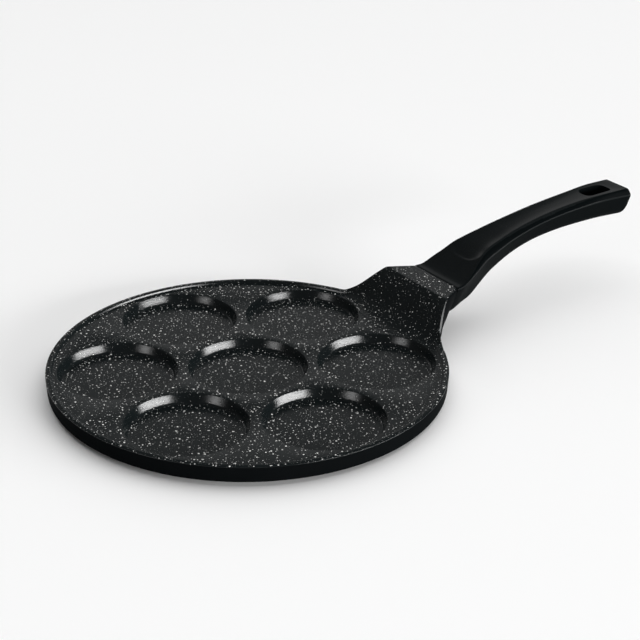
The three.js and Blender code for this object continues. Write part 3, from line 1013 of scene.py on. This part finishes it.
    def _lug_side(self, brink: np.ndarray, corner: np.ndarray, turn: float) -> np.ndarray:
        """Rounded edge, leaning side and underside of the lug, and the wall below it.

        Args:
            brink: Last point of the upper skin.
            corner: Where the upper skin and the side would meet.
            turn: Degrees from the handle's line.

        Returns:
            Rows of (radius, height) down to just above the foot.
        """
        level, rise = self.lug_under
        join = self._wall(level)
        under_out = self._polar(self.lug_under_outline)(turn)
        out = soft_max(join[0] + self.lug_under_least, under_out, self.lug_blend)
        low = np.array([out, level + rise * (out - self.rim_radius)])
        length, reach = float(np.linalg.norm(low - corner)), float(np.linalg.norm(join - low))
        side, inward = (low - corner) / length, (join - low) / reach
        start = corner + side * min(float(corner[0] - brink[0]), length * self.edge_share)
        turn_in = min(self.heel_round, self.heel_shares[0] * reach, self.heel_shares[1] * length)
        fillet = min(self.hollow_round, self.hollow_share * reach)
        under, meet = low + inward * turn_in, join - inward * fillet
        top_of_wall = self._wall(level - fillet)
        edge, flank, heel, sole, hollow, wall = self.side_rows
        return np.concatenate([
            bend(brink, corner, start, edge)[1:],
            straight(start, low - side * turn_in, flank)[1:],
            bend(low - side * turn_in, low, under, heel)[1:],
            straight(under, meet, sole)[1:],
            bend(meet, join, top_of_wall, hollow)[1:],
            straight(top_of_wall, self._wall(self.foot_rise + self.foot_ease), wall)[1:],
        ])

    def _skin(self, row: int, angle: float) -> Skin:
        """Finish of a face.

        Args:
            row: Its place down the column, from the level plate.
            angle: Angle of the column, in radians.

        Returns:
            Coat over the lip's edge and part of the way down the lug's flanks, lacquer below it; beside the
            seam the lacquer takes the edge too, as painted shade.
        """
        turn = turn_of(angle)
        edge, flank = self.side_rows[:2]
        start, full, shrinks, end = self.coat_turns
        down = smoothstep(turn, start, full) * (1.0 - smoothstep(turn, shrinks, end))
        # The lacquer on the lug's edge beside the seam paints shade there.
        shaded_edge = self.shaded_edge_share * (1.0 - smoothstep(turn, *self.shaded_edge_turns))
        last = sum(self.top_rows) - 1 + edge * (1.0 - shaded_edge) + flank * self.flank_coat * down
        return Skin.COAT if row < last else Skin.LACQUER

    def _cut_seam(self, bm: BMesh) -> None:
        """Cuts the lug off flat at the seam and rounds the edge of the cut.

        Args:
            bm: The casting's skin.
        """
        for depth in self.seam_cuts:
            parts = [*bm.verts, *bm.edges, *bm.faces]
            plane = {"plane_co": (JOINT.seam - depth, 0, 0), "plane_no": (1, 0, 0)}
            made = bmesh.ops.bisect_plane(bm, geom=parts, clear_outer=depth == 0, **plane)["geom_cut"]
            if depth == 0:
                rim = [item for item in made if isinstance(item, BMEdge)]
                bmesh.ops.contextual_create(bm, geom=rim)
        bm.normal_update()
        near = [vertex for vertex in bm.verts if JOINT.seam - vertex.co.x < self.seam_ease]
        pushes = []
        for vertex in near:
            across = Vector((0.0, vertex.normal.y, vertex.normal.z)).normalized()
            pushes.append(across * quarter_round(JOINT.seam - vertex.co.x, self.seam_ease))
        for vertex, push in zip(near, pushes):
            vertex.co -= push

    def _tools(self) -> list[Tool]:
        """Core pocket under the lug, tang, and tapped hole through the tang.

        Returns:
            Tools and what each does.
        """
        bm = bmesh.new()
        outline = rounded_rectangle(*self.core_half, self.core_corner)
        outline += (JOINT.seam - self.core_back, 0.0)
        close_ends(bm, loft(bm, [at_height(outline, z) for z in (-TOOL_REACH, self.core_top)]))
        for face in bm.faces:
            face.material_index = Skin.LACQUER.value
        width, thick = JOINT.tang_width / 2, JOINT.tang_thickness / 2
        low, high = (-JOINT.tang_root, -width, -thick), (JOINT.tang_length, width, thick)
        at_screw = JOINT.frame(JOINT.screw_reach)
        return [
            (as_object("core", bm), Cut.AWAY),
            (block_tool(low, high, JOINT.frame(), Skin.LACQUER), Cut.JOIN),
            (round_tool(JOINT.screw_radius + FIT, -TOOL_REACH, TOOL_REACH, at_screw), Cut.AWAY),
        ]


@dataclass(frozen=True)
class InductionPlate:
    """Perforated stainless disc pressed flush into the underside."""

    radius: float = 92.0
    thickness: float = 0.9
    hole_radius: float = 2.6
    pitch: float = 18.0
    margin: float = 14.0
    edge: float = 0.15
    columns: tuple[int, int] = (144, 24)  # points round the disc, and round a hole

    def build(self) -> Object:
        """Disc with rings of holes, its edges and the holes' edges eased.

        Returns:
            The piece, in place.
        """
        bm = bmesh.new()
        low, high = [], []
        middles = [(0.0, 0.0, self.radius, 1)]
        radius = self.radius - self.margin
        while radius > self.pitch:
            count = round(2 * math.pi * radius / self.pitch)
            for k in range(count):
                angle = 2 * math.pi * k / count
                x, y = radius * math.cos(angle), radius * math.sin(angle)
                middles.append((x, y, self.hole_radius, -1))
            radius -= self.pitch
        for x, y, size, outward in middles:
            eased = size - outward * self.edge
            wall = [(size, self.edge), (size, self.thickness - self.edge)]
            profile = [(eased, 0.0), *wall, (eased, self.thickness)]
            rings = loft(bm, turned(profile, self.columns[0 if outward > 0 else 1], (x, y)))
            low.append(rings[0])
            high.append(rings[-1])
        fill_level(bm, low)
        fill_level(bm, high)
        return as_object("induction_disc", bm)

    def dress(self, piece: Object) -> None:
        """Turned stainless sheet."""
        publish(piece, "induction_plate", (STAINLESS,))


@dataclass(frozen=True)
class MouldedHandle:
    """Curved phenolic handle with a dished thumb recess and a hang slot.

    Its outlines are (run, size) points, where a run is the distance from the seam.
    """

    length: float = 174.3
    neck_top: float = 34.7
    neck_under: float = 10.5
    neck_corner: float = 1.2
    neck_ease: float = 0.6
    tip_bevel: float = 3.4
    tip_bevel_drop: float = 5.0
    tip_blend: float = 0.4
    tip_round: float = 6.5
    tip_ease: float = 1.5
    edge_round: float = 0.35
    crease_round: float = 0.6
    crease_share: float = 0.4  # most of a flank that the crease's round takes
    under_round: float = 5.0
    under_shares: tuple[float, float] = (0.9, 0.5)  # most of the underside and of the side that it takes
    recess_start: float = 21.3
    recess_bow: float = 6.0
    recess_end_length: float = 3.2
    recess_depth: float = 1.9
    recess_run_out: float = 40.0
    recess_powers: tuple[float, float] = (3, 2.5)  # how its end and its section curve across the handle
    slot_dip: float = 0.75
    slot_mouth: float = 0.7  # share of that dip at which the slot's mouth lies
    slot_length: float = 24.0
    slot_half: float = 6.1
    slot_corner: float = 4.0
    slot_to_tip: float = 14.6
    slot_ease: float = 0.9
    slot_levels: tuple[float, float, int] = (0.75, 0.0, 6)  # rings round the mouth, in shares of its ease
    neck_rings: tuple[float, ...] = (0.0, 0.08, 0.2, 0.38, 0.6)  # from the handle's end
    # The rings' spacing changes at a run, twice about the recess's start, and short of the tip's bevel.
    ring_stops: tuple[float, float, float, float] = (1.8, -1.0, 11.0, 2.0)
    ring_steps: tuple[float, float, float] = (1.0, 0.35, 1.2)
    tip_start: float = 1.6
    tip_rings: tuple[int, int] = (12, 7)  # down the bevel, and round the tip's edge
    section_steps: tuple[int, int, int] = (27, 10, 6)  # dished top, flank and crease
    brow_steps: int = 4  # those of the top's steps that go round its edge
    under_steps: tuple[int, int, int] = (6, 8, 3)  # side, lower edge and underside
    # Faces that rise less than this over their width take the lighter top black, and steeper ones take the
    # darker copy that paints shade.
    lit_top_slope: float = 0.7
    flank_crown: tuple[float, float] = (0.52, 0.1)
    rise: Points = (
        (0.0, 0.0), (7.0, 0.8), (18.0, 7.3), (30.0, 15.1), (50.0, 20.9), (80.0, 26.5), (110.0, 29.8),
        (145.0, 31.4), (170.9, 30.8),
    )
    depth: Points = (
        (0.0, 24.2), (10.0, 24.2), (25.0, 28.4), (43.0, 23.2), (62.0, 19.3), (81.0, 17.8), (105.0, 18.2),
        (131.0, 19.6), (170.9, 21.5),
    )
    half_width: Points = (
        (0.0, 23.8), (12.0, 22.4), (24.0, 19.6), (34.0, 17.5), (53.0, 15.0), (73.0, 13.6), (100.0, 13.0),
        (150.0, 13.0), (170.9, 13.2),
    )
    edge_half: Points = (
        (0.0, 22.6), (12.0, 20.4), (24.0, 16.0), (34.0, 13.0), (50.0, 11.0), (65.0, 9.5), (95.0, 8.3),
        (125.0, 8.7), (148.0, 10.5), (170.9, 10.6),
    )
    wide_drop: Points = (
        (0.0, 1.2), (12.0, 1.4), (22.0, 3.3), (34.0, 4.8), (58.0, 3.8), (85.0, 3.1), (107.0, 3.2),
        (131.0, 3.8), (156.0, 4.5), (170.9, 5.0),
    )
    under_half: Points = ((0.0, 13.0), (25.0, 10.5), (50.0, 8.5), (100.0, 7.5), (170.9, 8.0))

    def build(self) -> Object:
        """Loft of the handle with its slot, socket, screw passage and counterbore.

        Returns:
            The piece, in place.
        """
        bm = bmesh.new()
        rings = []
        for run in self._runs():
            half = self._half_section(run)
            around = np.concatenate([half, half[-2:0:-1] * (-1, 1)])
            rings.append(np.column_stack([np.full(len(around), JOINT.seam + run), around]))
        close_ends(bm, loft(bm, rings, lambda row, column: self._face(rings[row], column).value))
        piece = as_object("moulded_handle", bm)
        carve(piece, self._tools())
        return piece

    def dress(self, piece: Object) -> None:
        """Lit and shaded copies of one black: the lighter on the dished top, the darker round it as painted
        shade, and a painted highlight line at the crease.
        """
        publish(piece, "handle_grip", (LIT_TOP_BLACK, SHADED_SIDE_BLACK, CREASE_HIGHLIGHT_BLACK))

    def _face(self, ring: np.ndarray, column: int) -> Face:
        """Finish of a face by its place round the section.

        Args:
            ring: Points round the handle.
            column: First of the ring's two points that the face has.

        Returns:
            The lighter black over the dished top and the gently sloped part of the flank, and below that a
            darker copy that paints shade.
        """
        place = min(column, len(ring) - 1 - column)
        dish, flank, crease = np.cumsum(self.section_steps)
        step = np.abs(ring[(column + 1) % len(ring)] - ring[column])
        # Gently sloped faces take the lighter black and steeper ones the darker copy: painted shade on the
        # sides.
        if place < dish or place < flank and step[2] < self.lit_top_slope * step[1]:
            return Face.TOP
        return Face.CREASE if flank <= place < crease else Face.SIDE

    def _tip(self) -> float:
        """Run where the bevel at the tip begins."""
        return self.length - self.tip_bevel

    def _runs(self) -> np.ndarray:
        """Distances from the seam of the loft's rings.

        Returns:
            Runs in order, closer where the shape turns.
        """
        tip, edge = self._tip(), self.length - self.tip_ease
        neck, before, after, short = self.ring_stops
        stops = (neck, self.recess_start + before, self.recess_start + after, tip - short)
        bevel_rings, edge_rings = self.tip_rings
        return np.concatenate([
            FIT + np.array(self.neck_rings),
            *(np.arange(a, b, step) for a, b, step in zip(stops, stops[1:], self.ring_steps)),
            np.linspace(tip - self.tip_start, edge, bevel_rings, endpoint=False),
            self.length - self.tip_ease * (1.0 - np.sin(np.linspace(0.0, math.pi / 2, edge_rings))),
        ])

    def _dip(self, run: float, across: np.ndarray) -> np.ndarray:
        """Depth of the thumb recess.

        Args:
            run: Distance from the seam.
            across: Shares of the recess's half width.

        Returns:
            Depths below the land: a round end towards the pan, shallower round the slot.
        """
        end_power, section_power = self.recess_powers
        fade = smoothstep(run, self.recess_start, self.recess_start + self.recess_run_out)
        deep = lerp(self.recess_depth, self.slot_dip, fade)
        deep *= 1.0 - smoothstep(run, self.length - self.slot_to_tip, self._tip())
        start = self.recess_start + self.recess_bow * across**end_power
        short = 1.0 - np.clip((run - start) / self.recess_end_length, 0.0, 1.0)
        return deep * (1.0 - across**section_power) * (1.0 - short**2)

    def _half_section(self, run: float) -> np.ndarray:
        """Half of the section across the handle.

        Args:
            run: Distance from the seam.

        Returns:
            Rows of (y, z) from the middle of the top out over the edge and the crease to the middle below.
        """
        inside, past = min(run, self._tip()), run - self._tip()
        bevel = (past + math.hypot(past, self.tip_blend)) / 2 / self.tip_bevel
        inset = quarter_round(run - FIT, self.neck_ease) + quarter_round(self.length - run, self.tip_ease)
        height = self.neck_top + Line(self.rise)(inside)
        edge = Line(self.edge_half)(inside) - inset
        wide = lerp(Line(self.half_width)(inside), Line(self.edge_half)(inside), bevel / 2) - inset
        top = height - self.tip_bevel_drop * bevel - inset
        drop = lerp(Line(self.wide_drop)(inside), self.neck_corner, min(bevel, 1.0))
        rounded = max(0.0, run - (self.length - self.tip_round))
        under = height - Line(self.depth)(inside) + self.tip_round + inset
        under -= math.sqrt(self.tip_round**2 - rounded**2)
        foot = np.array([Line(self.under_half)(inside) - inset, under])
        brow, ridge = np.array([edge, top]), np.array([wide, top - drop])
        dish, flank, crease_steps = self.section_steps
        across = np.linspace(0.0, edge - self.edge_round, dish + 1 - self.brow_steps)
        upper = np.column_stack([across, top - self._dip(run, across / edge)])
        crown = brow + (ridge - brow) * self.flank_crown
        flank_start = brow + (crown - brow) * self.edge_round / np.linalg.norm(crown - brow)
        flank_length = float(np.linalg.norm(crown - ridge))
        ridge_in = ridge + (crown - ridge) * min(self.crease_round / flank_length, self.crease_share)
        side = foot - ridge
        side_length = float(np.linalg.norm(side))
        ridge_out = ridge + side * min(self.crease_round / side_length, self.crease_share)
        sole_share, side_share = self.under_shares
        turn_in = min(self.under_round, foot[0] * sole_share, side_length * side_share)
        side_end, bottom = foot - side * (turn_in / side_length), foot - (turn_in, 0.0)
        side_steps, heel_steps, sole_steps = self.under_steps
        return np.concatenate([
            upper,
            bend(upper[-1], brow, flank_start, self.brow_steps)[1:],
            bend(flank_start, crown, ridge_in, flank)[1:],
            bend(ridge_in, ridge, ridge_out, crease_steps)[1:],
            straight(ridge_out, side_end, side_steps)[1:],
            bend(side_end, foot, bottom, heel_steps)[1:],
            straight(bottom, (0.0, under), sole_steps)[1:],
        ])

    def _tools(self) -> list[Tool]:
        """Hang slot with an eased mouth, socket for the tang, screw passage and counterbore.

        Returns:
            Tools and what each does.
        """
        middle = self.length - self.slot_to_tip - self.slot_length / 2
        mouth = self.neck_top + Line(self.rise)(middle) - self.slot_mouth * self.slot_dip
        levels = [(self.neck_under, 0.0), (mouth - self.slot_ease, 0.0)]
        for depth in np.linspace(*self.slot_levels) * self.slot_ease:
            levels.append((mouth - depth, quarter_round(depth, self.slot_ease)))
        levels.append((mouth + 2 * TOOL_REACH, self.slot_ease))
        rings = []
        for height, flare in levels:
            sizes = (self.slot_length / 2, self.slot_half, self.slot_corner)
            outline = rounded_rectangle(*(size + flare for size in sizes))
            rings.append(at_height(outline + (JOINT.seam + middle, 0.0), height))
        bm = bmesh.new()
        close_ends(bm, loft(bm, rings, lambda row, column: Face.SIDE.value))
        width, thick = JOINT.tang_width / 2 + FIT, JOINT.tang_thickness / 2 + FIT
        low, high = (-TOOL_REACH, -width, -thick), (JOINT.tang_length + FIT, width, thick)
        seat, at_screw = JOINT.seat(), JOINT.frame(JOINT.screw_reach)
        return [
            (as_object("slot", bm), Cut.AWAY),
            (block_tool(low, high, JOINT.frame()), Cut.AWAY),
            (round_tool(JOINT.screw_radius + FIT, seat - TOOL_REACH, 0.0, at_screw), Cut.AWAY),
            (round_tool(JOINT.washer_radius + FIT, seat - 2 * TOOL_REACH, seat, at_screw), Cut.AWAY),
        ]


@dataclass(frozen=True)
class Fastening:
    """M5 screw with a spring washer and a flat washer, up through the handle into the tang."""

    head_radius: float = 4.5
    head_height: float = 3.0
    head_bevel: float = 1.4
    head_ease: float = 0.2
    dome_share: float = 0.75  # of the head's radius, where its dome turns
    dome_rows: int = 10
    neck_ease: float = 0.1
    grip: float = 9.0
    point_bevel: float = 0.75
    thread_pitch: float = 0.8
    thread_depth: float = 0.4
    thread_rows: int = 8  # rings in one pitch
    thread_start: tuple[float, float] = (1.0, 2.5)  # where it runs in, from the head
    drive_width: float = 1.1
    drive_length: float = 5.0
    drive_depth: float = 1.6
    drive_over: float = 1.0
    punch_round: float = 0.2
    punch_bore: float = 0.15
    punch_burr: float = 0.05
    flat_columns: int = 64
    wire_ease: float = 0.1
    split: float = 1.0
    split_ease: float = 0.02
    slant: float = 25.0
    spring_columns: int = 80

    def build(self) -> list[Object]:
        """Screw, flat washer and spring washer."""
        return [self._screw(), self._flat_washer(), self._spring_washer()]

    def dress(self, pieces: Sequence[Object]) -> None:
        """Bright zinc plate on the screw and flat washer, darkened zinc on the spring washer.

        Args:
            pieces: Screw, flat washer and spring washer.
        """
        publish(pieces[0], "handle_screw", (ZINC,))
        publish(pieces[1], "flat_washer", (ZINC,))
        publish(pieces[2], "spring_washer", (DARK_ZINC,))

    def _screw(self) -> Object:
        """Domed head with a cross recess, and a threaded shank.

        Returns:
            The piece, in place.
        """
        head, radius, shank = JOINT.head_top(), self.head_radius, JOINT.screw_radius
        crown = head - self.head_height
        point = -JOINT.tang_thickness / 2 + self.grip
        dome_end = (radius, crown + self.head_bevel)
        profile = [
            *bend((0.0, crown), (radius * self.dome_share, crown), dome_end, self.dome_rows),
            (radius, head - self.head_ease),
            (radius - self.head_ease, head),
            (shank + self.neck_ease, head),
            (shank, head + self.neck_ease),
        ]
        rings = turned(profile, ROUND_STEPS)
        angles = np.arange(ROUND_STEPS) / ROUND_STEPS
        run_in = [head + off for off in self.thread_start]
        first, last = head + 2 * self.neck_ease, point - self.point_bevel
        for height in np.arange(first, last, self.thread_pitch / self.thread_rows):
            phase = (height / self.thread_pitch - angles) % 1.0
            cut = self.thread_depth * np.abs(2 * phase - 1) * smoothstep(height, *run_in)
            ring = turned([(1.0, height)], ROUND_STEPS)[0]
            ring[:, :2] *= (shank - cut)[:, None]
            rings.append(ring)
        rings += turned([(shank - self.point_bevel, point), (0.0, point)], ROUND_STEPS)
        bm = bmesh.new()
        loft(bm, rings)
        place = JOINT.frame(JOINT.screw_reach)
        piece = as_object("pan_head_screw", bm, place)
        half, width = self.drive_length / 2, self.drive_width / 2
        bottom, top = crown - self.drive_over, crown + self.drive_depth
        carve(piece, [
            (block_tool((-x, -y, bottom), (x, y, top), place), Cut.AWAY)
            for x, y in ((half, width), (width, half))
        ])
        return piece

    def _flat_washer(self) -> Object:
        """Punched ring, its upper edge rolled over by the punch.

        Returns:
            The piece, in place.
        """
        top = JOINT.washer_top()
        low = top - JOINT.washer_thickness
        outer, bore = JOINT.washer_radius, JOINT.screw_radius + FIT
        section = [(bore, low), (outer - self.punch_burr, low), (outer, low + self.punch_burr)]
        section += [(outer, top - self.punch_round), (outer - self.punch_round, top)]
        section += [(bore + self.punch_bore, top), (bore, top - self.punch_bore)]
        bm = bmesh.new()
        rings = loft(bm, turned(section, self.flat_columns))
        first, last = rings[-1], rings[0]
        for k in range(len(first)):
            after = (k + 1) % len(first)
            bm.faces.new((first[k], first[after], last[after], last[k])).smooth = True
        return as_object("flat_ring", bm, JOINT.frame(JOINT.screw_reach))

    def _spring_washer(self) -> Object:
        """Square wire bent to a ring, with a slanting split.

        Returns:
            The piece, in place.
        """
        top, ease = JOINT.spring_top(), self.wire_ease
        low = top - JOINT.spring_thickness
        outer, bore = JOINT.spring_radius, JOINT.screw_radius + FIT
        lean = math.tan(math.radians(self.slant)) / outer
        start = self.split / 2 / outer + self.split_ease
        wire = [(bore, low + ease), (bore + ease, low), (outer - ease, low), (outer, low + ease)]
        wire += [(outer, top - ease), (outer - ease, top), (bore + ease, top), (bore, top - ease)]
        rings = []
        for angle in np.linspace(start, 2 * math.pi - start, self.spring_columns):
            ring = []
            for radius, height in wire:
                turn = angle - (height - top) * lean
                ring.append((radius * math.cos(turn), radius * math.sin(turn), height))
            rings.append(np.array(ring))
        bm = bmesh.new()
        close_ends(bm, loft(bm, rings))
        return as_object("split_ring", bm, JOINT.frame(JOINT.screw_reach))


# Studio


@dataclass(frozen=True)
class Panel:
    """Soft box as the pan sees it, with both ends of its azimuth and elevation in degrees."""

    name: str
    azimuth: tuple[float, float]
    elevation: tuple[float, float]
    radiance: float
    roll: float = 0.0  # degrees that it leans about its own axis
    distance: float = 6.0  # metres

    def build(self) -> None:
        """Rectangular lamp that faces the pan."""
        azimuth, elevation = (math.radians(sum(ends) / 2) for ends in (self.azimuth, self.elevation))
        back = Vector((
            math.cos(azimuth) * math.cos(elevation),
            math.sin(azimuth) * math.cos(elevation),
            math.sin(elevation),
        ))
        lamp = bpy.data.lights.new(self.name, "AREA")
        lamp.shape = "RECTANGLE"
        lamp.size, lamp.size_y = (
            2 * self.distance * math.tan(math.radians(high - low) / 2)
            for low, high in (self.azimuth, self.elevation)
        )
        lamp.energy = self.radiance * math.pi * lamp.size * lamp.size_y
        stand = bpy.data.objects.new(self.name, lamp)
        stand.location = back * self.distance
        lean = Matrix.Rotation(math.radians(self.roll), 3, "Z")
        stand.rotation_euler = (back.to_track_quat("Z", "Y").to_matrix() @ lean).to_euler()
        stand.visible_camera = False
        bpy.context.scene.collection.objects.link(stand)


@dataclass(frozen=True)
class Studio:
    """Pale floor, soft lamps and the camera that was fitted to the photograph."""

    floor_colour: str = "#FAFAFA"
    floor_half: float = 8000.0
    floor_gap: float = 0.05
    world: float = 0.07
    overhead: float = 2.85
    overhead_spread: float = 110.0
    overhead_turn: tuple[float, float, float] = (0.0, 40.0, 35.0)
    # The key and the fill give the wells' walls their bright and weak highlights. The back and side
    # panels give a faint sheen to the level web, the well floors and the slopes of lug and handle.
    panels: tuple[Panel, ...] = (
        Panel("key_softbox", (-92.0, -34.0), (4.5, 15.4), 19.5, -10.5),
        Panel("fill_softbox", (178.5, 192.5), (6.0, 18.0), 5.2),
        Panel("fill_edge_right", (192.5, 199.5), (6.0, 18.0), 1.6),
        Panel("fill_edge_left", (171.5, 178.5), (6.0, 18.0), 1.6),
        Panel("back_panel", (37.0, 66.0), (12.0, 31.0), 0.2),
        Panel("side_panel", (76.0, 98.0), (12.0, 31.0), 0.36),
        Panel("back_strip", (37.0, 78.0), (2.0, 12.0), 0.12),
    )
    lens: float = 95.62
    sensor: float = 36.0
    azimuth: float = -36.18
    elevation: float = 26.2
    roll: float = 0.724
    eye: tuple[float, float, float] = (-538.1, -814.0, 525.0)

    def build(self) -> None:
        """Floor, lamps, world and camera."""
        self._floor()
        for panel in self.panels:
            panel.build()
        lamp = bpy.data.lights.new("overhead_softbox", "SUN")
        lamp.energy = self.overhead
        lamp.angle = math.radians(self.overhead_spread)
        overhead = bpy.data.objects.new("overhead_softbox", lamp)
        overhead.rotation_euler = [math.radians(turn) for turn in self.overhead_turn]
        overhead.visible_glossy = False
        bpy.context.scene.collection.objects.link(overhead)
        world = bpy.data.worlds.new("dim_studio")
        world.use_nodes = True
        background = world.node_tree.nodes["Background"]
        feed(world.node_tree, background, {"Color": (1.0, 1.0, 1.0, 1.0), "Strength": self.world})
        bpy.context.scene.world = world
        bpy.context.scene.view_settings.view_transform = "Standard"
        self._camera()

    def _floor(self) -> None:
        """Wide sheet of matt white paper under the pan."""
        bm = bmesh.new()
        bmesh.ops.create_grid(bm, x_segments=1, y_segments=1, size=self.floor_half)
        floor = as_object("floor", bm, Matrix.Translation((0, 0, -self.floor_gap)))
        # Matt paper: an even near-white that takes the pan's soft shadow and mirrors nothing.
        paper = {"Base Color": linear(self.floor_colour), "Roughness": 0.9, "Specular IOR Level": 0.0}
        floor.data.materials.append(start_material("white_paper_matt", paper)[0])

    def _camera(self) -> None:
        """Camera as fitted to the photograph's rim, wells and handle."""
        azimuth, elevation, roll = (math.radians(a) for a in (self.azimuth, self.elevation, self.roll))
        back = Vector((
            math.sin(azimuth) * math.cos(elevation),
            -math.cos(azimuth) * math.cos(elevation),
            math.sin(elevation),
        ))
        level = Vector((math.cos(azimuth), math.sin(azimuth), 0.0))
        above = back.cross(level)
        right = level * math.cos(roll) + above * math.sin(roll)
        up = above * math.cos(roll) - level * math.sin(roll)
        lens = bpy.data.cameras.new("camera")
        lens.lens = self.lens
        lens.sensor_width = self.sensor
        camera = bpy.data.objects.new("camera", lens)
        turn = Matrix((right, up, back)).transposed().to_4x4()
        camera.matrix_world = Matrix.Translation(Vector(self.eye) * MM) @ turn
        bpy.context.scene.collection.objects.link(camera)
        bpy.context.scene.camera = camera


def main() -> None:
    """Builds the pan, its handle and fastening, and the studio round them."""
    logging.basicConfig(level=logging.INFO, format="%(name)s: %(message)s")
    for assembly in (CastPan(), InductionPlate(), MouldedHandle(), Fastening()):
        assembly.dress(assembly.build())
    Studio().build()


if __name__ == "__main__":
    main()
